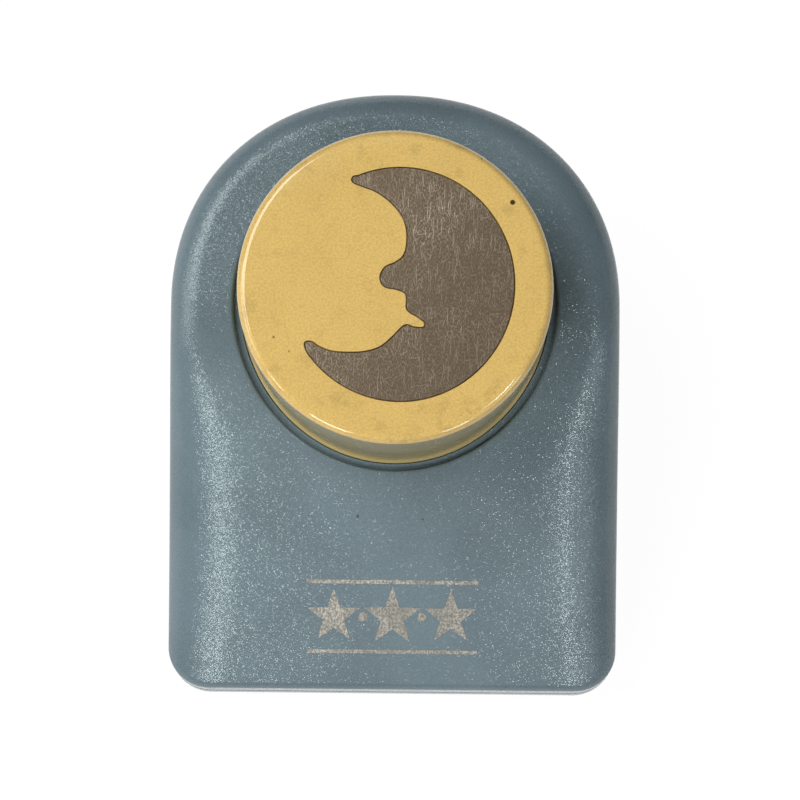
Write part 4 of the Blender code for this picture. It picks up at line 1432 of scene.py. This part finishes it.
@dataclass
class MoonOutline:
    """The moon with a face, as shares of its height from the button's axis."""

    height: float
    centre: Pair = (0.021, 0.006)
    radii: Pair = (0.4866, 0.5024)
    back_from: float = math.radians(112.5)
    back_to: float = math.radians(-143)
    arc_steps: int = 110
    curve_steps: int = 8
    offset_share: float = 0.95
    face: tuple[Pair, ...] = (
        (-0.1800, 0.4690), (-0.1890, 0.4580), (-0.1850, 0.4440), (-0.1670, 0.4345),
        (-0.1286, 0.4205), (-0.086, 0.404), (-0.028, 0.363), (0.015, 0.316), (0.040, 0.269),
        (0.049, 0.219), (0.046, 0.161), (0.030, 0.122), (-0.004, 0.096), (-0.042, 0.078),
        (-0.063, 0.043), (-0.058, 0.009), (-0.037, -0.009), (0.002, -0.016), (0.040, -0.031),
        (0.050, -0.055), (0.049, -0.095), (0.063, -0.115), (0.096, -0.134), (0.126, -0.158),
        (0.122, -0.180), (0.084, -0.180), (0.042, -0.172), (-0.009, -0.222), (-0.057, -0.263),
        (-0.118, -0.285), (-0.190, -0.291), (-0.263, -0.287), (-0.318, -0.268), (-0.352, -0.247),
        (-0.378, -0.248), (-0.381, -0.266),
    )

    def points(self) -> list[Vector]:
        """Gives the outline, anticlockwise.

        Returns:
            Its points, measured from the axis.
        """
        centre, radii = Vector(self.centre), Vector(self.radii)
        back = []
        for i in range(self.arc_steps + 1):
            turn = mix(self.back_to, self.back_from, i / self.arc_steps)
            back.append(centre + Vector((radii.x * math.cos(turn), radii.y * math.sin(turn))))
        knots = [back[-1]] + [Vector(share) for share in self.face] + [back[0]]
        return [point * self.height for point in back[:-1] + self.curve(knots)]

    def curve(self, knots: Sequence[Vector]) -> list[Vector]:
        """Gives a smooth line through the knots, without the last one.

        Args:
            knots: The knots.

        Returns:
            The points of the line.
        """
        points = []
        for i, (start, end) in enumerate(zip(knots, knots[1:])):
            before, after = knots[max(i - 1, 0)], knots[min(i + 2, len(knots) - 1)]
            for step in range(self.curve_steps):
                t = step / self.curve_steps
                second = 2 * before - 5 * start + 4 * end - after
                third = 3 * start - before - 3 * end + after
                points.append((2 * start + (end - before) * t + second * t**2 + third * t**3) / 2)
        return points

    def moved(self, points: Sequence[Vector], distance: float) -> list[Vector]:
        """Moves each point outwards, square to the line through its neighbours.

        Args:
            points: The outline.
            distance: How far they move, or less than 0 to move them inwards.

        Returns:
            The moved points.
        """
        places = []
        for i, point in enumerate(points):
            along = (points[(i + 1) % len(points)] - points[i - 1]).normalized()
            places.append(point + Vector((along.y, -along.x)) * distance)
        return places

    def grown(self, distance: float) -> Plan:
        """Gives the outline moved outwards, without the points that would cross it.

        Args:
            distance: How far it is moved.

        Returns:
            The new outline.
        """
        points = self.points()
        least = abs(distance) * self.offset_share
        moved = self.moved(points, distance)
        return [(place.x, place.y) for place in moved if self.apart(points, place) > least]

    def apart(self, points: Sequence[Vector], place: Vector) -> float:
        """Gives the least distance from a place to the outline.

        Args:
            points: The outline.
            place: The place.

        Returns:
            The distance.
        """
        least = math.inf
        for start, end in zip(points, list(points[1:]) + [points[0]]):
            along = end - start
            share = min(max((place - start).dot(along) / along.length_squared, 0), 1)
            least = min(least, (place - start - along * share).length)
        return least


@dataclass
class Button:
    """The button with its stepped wall, groove, ribs and lugs, and its moon emblem."""

    shell: Shell
    turned: Tree
    moon: MoonOutline
    finish: GlossyPlastic
    foil: ScratchedFoil
    top: float
    skirt_bottom: float
    holder_bottom: float
    holder_top: float
    lug_radius: float
    radius: float = 0.01754
    wall: float = 0.00214
    top_thickness: float = 0.0025
    edge_round: float = 0.0010
    inner_round: float = 0.0004
    groove: float = 0.0005
    gap: float = 0.0003
    lugs: int = 4
    lug_size: Pair = (0.0060, 0.0020)
    rib_thickness: float = 0.0014
    emblem_thickness: float = 0.0003
    emblem_clearance: float = 0.00011
    emblem_edge: float = 0.00005
    step: float = 0.00034
    step_round: float = 0.00016
    step_depth: float = 0.0011
    step_bottom: float = 0.0203
    hub_radius: float = 0.0020
    steps: int = 240
    edge_steps: int = 9
    step_steps: int = 5

    def cup(self, material: Material) -> Object:
        """Turns the button's cup.

        Args:
            material: The plastic.

        Returns:
            The cup, standing on the button's axis.
        """
        inner = self.radius - self.wall
        low, high = self.holder_bottom - self.gap, self.holder_top + self.gap
        ceiling = self.top - self.top_thickness
        profile = [
            (0, self.top, 0), (self.radius, self.top, self.edge_round),
            (self.radius, self.skirt_bottom, self.inner_round), (inner, self.skirt_bottom, 0),
            (inner, low, 0), (inner + self.groove, low, 0), (inner + self.groove, high, 0),
            (inner, high, 0), (inner, ceiling, self.inner_round), (0, ceiling, 0),
        ]
        values = {"Steps": self.steps, "Segments": self.edge_steps, "Material": material}
        cup = self.turned.grow("button", profile_mesh("button", profile), values)
        cup.data.transform(self.shell.shift())
        return cup

    def barrel(self) -> Object:
        """Makes the wider lower part, whose shoulder lies level with the well's ledge.

        Returns:
            The barrel, which reaches into the cup's wall.
        """
        shell, small, depth = self.shell, self.step_round, self.step_depth
        edge = shell.outline()
        radius, inner = self.radius + self.step, ring_at(self.radius - self.wall / 2, edge)
        rings = [shell.placed(ring_at(radius, edge), self.step_bottom)]
        for sine, versed in quarter(self.step_steps):
            shoulder = ring_at(radius - small * versed, edge)
            rings.append(shell.over(shoulder, depth + small * (1 - sine)))
        rings += [shell.over(inner, depth), shell.placed(inner, self.step_bottom)]
        return loft("barrel", rings)

    def slab(self, name: str, low: Sequence[float], high: Sequence[float], turn: float) -> Object:
        """Makes a box between two corners, turned about the button's axis by quarter turns.

        Args:
            name: Its name.
            low: Its lowest corner, measured from the axis.
            high: Its highest corner.
            turn: How many quarter turns it makes.

        Returns:
            The box.
        """
        centre, size = (Vector(low) + Vector(high)) / 2, Vector(high) - Vector(low)
        turned = self.shell.shift() @ Matrix.Rotation(QUARTER_TURN * turn, 4, "Z")
        return block(name, size, turned @ Matrix.Translation(centre))

    def plate(self, name: str, outline: Plan, bottom: float, top: float) -> Object:
        """Makes an upright plate from an outline, between two heights."""
        rings = [self.shell.placed(outline, level) for level in (bottom, top)]
        return loft(name, rings, cyclic=False)

    def stiffening(self) -> list[Object]:
        """Makes the crossed ribs, the hub and the lugs.

        Returns:
            The tools to join to the cup, in order.
        """
        half_rib, reach = self.rib_thickness / 2, self.radius - self.wall / 2
        rib_low = self.holder_top + self.gap + OVERRUN
        rib_high = self.top - self.top_thickness + OVERRUN
        width, height = self.lug_size
        corners = (-reach, -half_rib, rib_low), (reach, half_rib, rib_high)
        tools = [self.slab("rib", *corners, number) for number in range(2)]
        tools.append(self.plate("hub", circle(self.hub_radius), rib_low - OVERRUN, rib_high))
        corners = (
            (reach, -width / 2, self.skirt_bottom),
            (self.lug_radius, width / 2, self.skirt_bottom + height),
        )
        return tools + [self.slab("lug", *corners, number) for number in range(self.lugs)]

    def build(self) -> None:
        """Makes the button and the emblem and puts them in the place of their solids."""
        plastic = self.finish.material("glossy_cream_plastic")
        button = self.cup(plastic)
        for tool in [self.barrel(), *self.stiffening()]:
            button = cut(button, tool, "UNION")
        floor = self.top - self.emblem_thickness - self.gap
        hollow = self.moon.grown(self.emblem_clearance)
        button = cut(button, self.plate("recess", hollow, floor, self.top + OVERRUN))
        polish(button, plastic)
        put(button, Body.PLUNGER, Slot.CREAM_PLASTIC, "push_button")
        self.build_emblem()

    def build_emblem(self) -> None:
        """Makes the foil moon with a fine rounded edge."""
        points = self.moon.points()
        lip = self.moon.moved(points, -self.emblem_edge)
        low, shoulder = self.top - self.emblem_thickness, self.top - self.emblem_edge
        levels = (points, low), (points, shoulder), (lip, self.top)
        rings = [self.shell.placed([tuple(spot) for spot in plan], z) for plan, z in levels]
        emblem = loft("moon_foil", rings, cyclic=False)
        polish(emblem, self.foil.material("scratched_brown_foil"))
        put(emblem, Body.PLUNGER, Slot.BROWN_FOIL, "moon_emblem")


@dataclass
class Tray:
    """The base tray with the chute and the screw bosses."""

    shell: Shell
    turned: Tree
    finish: GrainedPlastic
    height: float
    screw_places: Sequence[Pair]
    ledge: float = 0.0037
    hole_radius: float = 0.0016
    sink_radius: float = 0.0026
    sink_top: float = 0.0021
    chute_radius: float = 0.01548
    wall: float = 0.0020
    floor: float = 0.0018
    collar_wall: float = 0.0020
    boss_radius: float = 0.0040
    foot_round: float = 0.0006
    rim_round: float = 0.0003
    edge_steps: int = 5
    tool_steps: int = 40
    tool_edge_steps: int = 3

    def rings(self) -> list[Ring]:
        """Gives the tray's rings, from the foot up the wall, down inside and through the chute.

        Returns:
            The rings.
        """
        shell, steps = self.shell, quarter(self.edge_steps)
        walls = [(self.foot_round * versed, self.foot_round * (1 - sine)) for sine, versed in steps]
        walls += [
            (self.height - self.rim_round * (1 - sine), self.rim_round * versed)
            for sine, versed in steps
        ]
        walls += [(self.height, self.wall), (self.floor, self.wall)]
        rings = [shell.placed(shell.outline(level, inset), level) for level, inset in walls]
        around, collar = shell.outline(0), self.chute_radius + self.collar_wall
        rounds = [(collar, self.floor), (collar, self.ledge), (self.chute_radius, self.ledge)]
        rounds += [
            (self.chute_radius + self.foot_round * (1 - sine), self.foot_round * versed)
            for sine, versed in reversed(steps)
        ]
        return rings + [shell.placed(ring_at(radius, around), level) for radius, level in rounds]

    def turned_tool(self, name: str, profile: Ring, x: float, y: float) -> Object:
        """Makes a turned tool at a place measured from the axis.

        Args:
            name: Its name.
            profile: Radius, height and rounding of its corners.
            x: Its place across.
            y: Its place along.

        Returns:
            The tool.
        """
        values = {"Steps": self.tool_steps, "Segments": self.tool_edge_steps}
        tool = self.turned.grow(name, profile_mesh(name, profile), values)
        tool.data.transform(self.shell.shift(x, y))
        return tool

    def build(self) -> None:
        """Makes the tray and puts it in the place of its solid."""
        tray = loft("tray", self.rings())
        bottom, hole_top, root = -OVERRUN, self.ledge + OVERRUN, self.floor / 2
        boss = [
            (0, self.ledge, 0), (self.boss_radius, self.ledge, self.rim_round),
            (self.boss_radius, root, 0), (0, root, 0),
        ]
        sink = [
            (0, hole_top, 0), (self.hole_radius, hole_top, 0),
            (self.hole_radius, self.sink_top, 0), (self.sink_radius, self.sink_top, 0),
            (self.sink_radius, bottom, 0), (0, bottom, 0),
        ]
        for x, y in self.screw_places:
            tray = cut(tray, self.turned_tool("boss", boss, x, y), "UNION")
            tray = cut(tray, self.turned_tool("sink", sink, x, y))
        polish(tray, self.finish.material("grained_blue_tray"))
        put(tray, Body.FRAME, Slot.BLUE_PLASTIC, "base_tray")


@dataclass
class Spring:
    """The return spring, made at one length only, though the real one flattens as the button goes
    down.
    """

    shell: Shell
    coil: Tree
    finish: WorkedSteel
    low: float
    high: float
    radius: float = 0.01445
    pressed_length: float = 0.0077
    wire: float = 0.0012
    turns: float = 5.0
    flat_turns: float = 0.75
    coil_gap: float = 0.0005
    steps_a_turn: int = 40

    def build(self) -> None:
        """Makes the spring and puts it in the place of its solid."""
        values = {
            "Radius": self.radius, "Wire": self.wire, "Low": self.low + self.wire / 2,
            "High": self.high - self.wire / 2, "Turns": self.turns, "Flat turns": self.flat_turns,
            "Flat pitch": self.wire + self.coil_gap, "Steps": round(self.turns * self.steps_a_turn),
            "Material": self.finish.material("drawn_spring_wire"),
        }
        piece = self.coil.grow("spring", bpy.data.meshes.new("spring_seed"), values)
        piece.data.transform(self.shell.shift())
        put(piece, Body.FRAME, Slot.SPRING_STEEL, "return_spring")
        keep = self.pressed_length / (self.high - self.low)
        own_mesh(piece)


@dataclass
class Screws:
    """The screws, each turned with a rounded head and cut with a cross recess."""

    turned: Tree
    finish: ZincCoat
    names: tuple[str, ...]
    head_radius: float = 0.0023
    head_height: float = 0.0014
    head_round: float = 0.0006
    shank_radius: float = 0.0013
    point: float = 0.0010
    recess: tuple[float, float, float] = (0.0026, 0.0006, 0.0007)
    steps: int = 48
    edge_steps: int = 5

    def build(self) -> None:
        """Makes each screw in the box of its solid."""
        material = self.finish.material("zinc_plating")
        values = {"Steps": self.steps, "Segments": self.edge_steps, "Material": material}
        length, width, depth = self.recess
        for name in self.names:
            low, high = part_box(name)
            head_top, cone = low.z + self.head_height, self.shank_radius - self.point
            profile = [
                (0, high.z, 0), (cone, high.z, 0), (self.shank_radius, high.z - self.point, 0),
                (self.shank_radius, head_top, 0), (self.head_radius, head_top, 0),
                (self.head_radius, low.z, self.head_round), (0, low.z, 0),
            ]
            screw = self.turned.grow(name + "_dressed", profile_mesh(name, profile), values)
            deep = depth + OVERRUN
            centre = Matrix.Translation((0, 0, low.z + depth - deep / 2))
            for size in ((length, width, deep), (width, length, deep)):
                screw = cut(screw, block("recess", size, centre))
            middle = ((low.x + high.x) / 2, (low.y + high.y) / 2, 0)
            screw.data.transform(Matrix.Translation(middle))
            polish(screw, material)
            put(screw, Body.FRAME, Slot.ZINC_STEEL, name)


@dataclass
class Ornament:
    """A plain row of foil stars on the slope, in the place of the maker's print."""

    shell: Shell
    stars: Tree
    finish: ScratchedFoil
    centre_y: float = -0.0357
    count: int = 3
    pitch: float = 0.0070
    size: float = 0.0036
    fall: float = 0.08
    dot: float = 0.00055
    thickness: float = 0.00006
    sink: float = 0.00003
    rule_length: float = 0.0205
    rule_rise: float = 0.0041
    rule_width: float = 0.00045
    rule_step: float = 0.0005

    def build(self) -> None:
        """Makes the stars and lays them on the housing's slope."""
        values = {
            "Count": self.count, "Pitch": self.pitch, "Size": self.size, "Fall": self.fall,
            "Dot": self.dot, "Thickness": self.thickness, "Rule length": self.rule_length,
            "Rule rise": self.rule_rise, "Rule width": self.rule_width, "Rule step": self.rule_step,
            "Material": self.finish.material("silver_foil"),
        }
        piece = self.stars.grow("foil_stars", bpy.data.meshes.new("star_seed"), values)
        for vertex in piece.data.vertices:
            y = vertex.co.y + self.centre_y
            level = self.shell.top(vertex.co.x, y) + vertex.co.z - self.sink
            vertex.co = (vertex.co.x, self.shell.axis_y + y, level)
        put(piece, Body.FRAME, Slot.BROWN_FOIL)


@dataclass
class CarriedParts:
    """Solids whose own shape is right, with better finishes for the nodes that a name starts."""

    finishes: dict[str, Material]

    def build(self) -> None:
        """Gives each solid its material."""
        for start, material in self.finishes.items():
            for name, node in sorted(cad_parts.items()):
                if name.startswith(start):
                    node.data.materials.clear()
                    node.data.materials.append(material)
                    LOG.info("%s: carried over with %s", name, material.name)


@dataclass(frozen=True)
class Lamp:
    """A square soft lamp that faces the punch from a direction.

    Its level is the brightness that it gives a white surface that faces it.
    """

    name: str
    azimuth: float
    elevation: float
    distance: float
    size: float
    level: float

    def build(self) -> None:
        """Makes the lamp."""
        light = bpy.data.lights.new(self.name, "AREA")
        light.size = self.size
        light.energy = self.level * (math.pi * self.distance) ** 2
        turn, rise = math.radians(self.azimuth), math.radians(self.elevation)
        reach = math.cos(rise)
        way = Vector((math.cos(turn) * reach, math.sin(turn) * reach, math.sin(rise)))
        lamp = linked(self.name, light)
        lamp.location = way * self.distance
        lamp.rotation_euler = way.to_track_quat("Z", "Y").to_euler()


@dataclass
class Studio:
    """The pale floor, the soft lamps and the camera at the photograph's viewing angle."""

    camera_place: tuple[float, float, float] = (0.00066, -0.0355, 0.340)
    tilt: float = math.radians(6.19)
    roll: float = math.radians(0.594)
    focal_pixels: float = 2680.8
    image_pixels: float = 800
    sensor: float = 36.0
    clip: Pair = (0.01, 10.0)
    floor_size: float = 3.0
    floor_roughness: float = 0.9
    floor_bounce: float = 0.25
    floor_pale: float = 0.80
    floor_glow: float = 1.05
    floor_glow_share: float = 0.91
    lamps: tuple[Lamp, ...] = (
        Lamp("window_lamp", 145, 58, 1.20, 0.60, 0.510),
        Lamp("left_lamp", 178, 40, 1.20, 0.60, 0.245),
        Lamp("low_left_lamp", 185, 22, 0.60, 0.30, 0.070),
        Lamp("far_left_front_lamp", -150, 45, 0.60, 0.07, 0.055),
        Lamp("left_front_lamp", -119, 36, 0.60, 0.16, 0.250),
        Lamp("front_lamp", -90, 42, 0.60, 0.30, 0.033),
        Lamp("right_front_lamp", -62, 36, 0.60, 0.10, 0.125),
        Lamp("wide_right_front_lamp", -40, 40, 0.60, 0.30, 0.083),
        Lamp("right_lamp", -32, 34, 0.60, 0.10, 0.038),
        Lamp("low_right_lamp", 0, 20, 0.60, 0.30, 0.025),
        Lamp("high_right_lamp", -30, 66, 0.60, 0.07, 0.080),
        Lamp("rear_lamp", 110, 60, 0.60, 0.30, 0.030),
    )

    def build(self) -> None:
        """Makes the floor, the world, the lamps and the camera."""
        self.make_floor()
        self.make_world()
        for lamp in self.lamps:
            lamp.build()
        self.make_camera()
        bpy.context.scene.view_settings.view_transform = "Standard"

    def make_floor(self) -> None:
        """Makes the pale floor, which shows white and keeps the punch's shadow."""
        shape = bmesh.new()
        bmesh.ops.create_grid(shape, x_segments=2, y_segments=2, size=self.floor_size)
        floor = solid("floor", shape)
        recipe = Recipe("pale_floor")
        path = recipe.node("ShaderNodeLightPath")
        rays = ("Is Camera Ray", "Is Glossy Ray", "Is Transmission Ray")
        seen, mirrored, through = (Wire(recipe.tree, path.outputs[name]) for name in rays)
        backdrop = (seen + mirrored + through).maths("MINIMUM", 1.0)
        tones = ((self.floor_bounce,) * 3, (self.floor_pale,) * 3)
        colour = recipe.mixed(backdrop, *tones)
        recipe.done({"Roughness": self.floor_roughness, "Base Color": colour})
        glow = recipe.wire("ShaderNodeEmission", {"Strength": self.floor_glow})
        parts = {0: backdrop * self.floor_glow_share, 1: recipe.shader.outputs[0], 2: glow}
        surface = recipe.tree.nodes["Material Output"].inputs["Surface"]
        feed(recipe.tree, surface, recipe.wire("ShaderNodeMixShader", parts))
        floor.data.materials.append(recipe.material)

    def make_world(self) -> None:
        """Makes the world, which shows white behind the punch and gives no light."""
        world = bpy.data.worlds.new("studio")
        bpy.context.scene.world = world
        world.use_nodes = True
        seen = Graph(world.node_tree).wire("ShaderNodeLightPath", output="Is Camera Ray")
        background = world.node_tree.nodes["Background"]
        background.inputs["Color"].default_value = (1, 1, 1, 1)
        feed(world.node_tree, background.inputs["Strength"], seen)

    def make_camera(self) -> None:
        """Makes the camera, nearly overhead and a little in front, as in the photograph."""
        camera = bpy.data.cameras.new("camera")
        camera.sensor_width = self.sensor
        camera.lens = self.sensor * self.focal_pixels / self.image_pixels
        camera.clip_start, camera.clip_end = self.clip
        holder = linked("camera", camera)
        turn = Matrix.Rotation(self.tilt, 4, "X") @ Matrix.Rotation(self.roll, 4, "Z")
        holder.matrix_world = Matrix.Translation(self.camera_place) @ turn
        bpy.context.scene.camera = holder


def screw_places(names: Sequence[str], axis_y: float) -> list[tuple[float, float, float]]:
    """Gives each screw's place across, its place along from the axis, and its top."""
    boxes = [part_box(name) for name in names]
    return [((low.x + high.x) / 2, (low.y + high.y) / 2 - axis_y, high.z) for low, high in boxes]


def main() -> None:
    """Builds every sub-assembly in order."""
    logging.basicConfig(level=logging.INFO, format="%(name)s: %(message)s", stream=sys.stdout)
    button_low, button_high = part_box("push_button")
    axis_y = (button_low.y + button_high.y) / 2
    tray_low, tray_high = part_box("base_tray")
    guide_low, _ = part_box("guide_plate")
    spring_low, spring_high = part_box("return_spring")
    holder_low, holder_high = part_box("punch_holder")
    rear_screws = ("rear_screw_left", "rear_screw_right")
    tray_screws = (*rear_screws, "tray_screw_left", "tray_screw_right")
    housing_screws = (*rear_screws, "guide_screw_left", "guide_screw_right")

    shell = Shell.around(axis_y, tray_low, tray_high, chamfer=0.0005)
    turned = turned_tree()
    scuffs = ((-0.0042, axis_y - 0.0240, 0.00024), (0.0035, axis_y - 0.0243, 0.00016))
    blue = GrainedPlastic((0.143, 0.195, 0.220), scuffs)
    cream = GlossyPlastic(
        (0.765, 0.528, 0.169), grime=(0.46, 0.305, 0.10), side_painted_shade=(0.430, 0.357, 0.165),
        side_shade_height=button_high.z - 0.0006, clean=(0.0, axis_y, 0.0175),
        spots=((0.0129, axis_y + 0.0094, 0.00036),),
    )
    brown = ScratchedFoil(
        (0.172, 0.124, 0.078), (0.58, 0.50, 0.39),
        bright=((-0.0075, axis_y - 0.0082, 0.0052), (0.0035, axis_y + 0.0080, 0.0046)),
    )
    silver = ScratchedFoil(
        (0.27, 0.26, 0.23), (0.74, 0.70, 0.62), grain=0.00026, grain_stretch=1.0, grain_share=0.9
    )
    zinc = ZincCoat((0.58, 0.59, 0.60))

    Studio().build()
    Housing(
        shell, blue, tray_top=tray_high.z, slot_top=guide_low.z,
        bosses=screw_places(housing_screws, axis_y),
    ).build()
    Button(
        shell, turned, MoonOutline(0.0259), cream, brown, top=button_high.z,
        skirt_bottom=button_low.z, holder_bottom=holder_low.z, holder_top=holder_high.z,
        lug_radius=(button_high.x - button_low.x) / 2,
    ).build()
    places = [place[:2] for place in screw_places(tray_screws, axis_y)]
    Tray(shell, turned, blue, tray_high.z, places).build()
    spring_wire = WorkedSteel((0.56, 0.56, 0.55), 0.25)
    Spring(shell, coil_tree(), spring_wire, spring_low.z, spring_high.z).build()
    Screws(turned, zinc, tray_screws).build()
    Ornament(shell, star_row_tree(), silver).build()
    ground = WorkedSteel((0.42, 0.43, 0.44)).material("ground_die_steel")
    punch = WorkedSteel((0.50, 0.50, 0.49), 0.28).material("ground_punch_steel")
    sheet = zinc.material("zinc_sheet")
    CarriedParts({
        "die_plate": ground, "guide_plate": ground, "moon_punch": punch, "die_rivet": sheet,
        "guide_screw": sheet, "punch_screw": sheet, "slot_spacer": sheet, "spring_seat": sheet,
        "punch_holder": sheet,
    }).build()


if __name__ == "__main__":
    main()
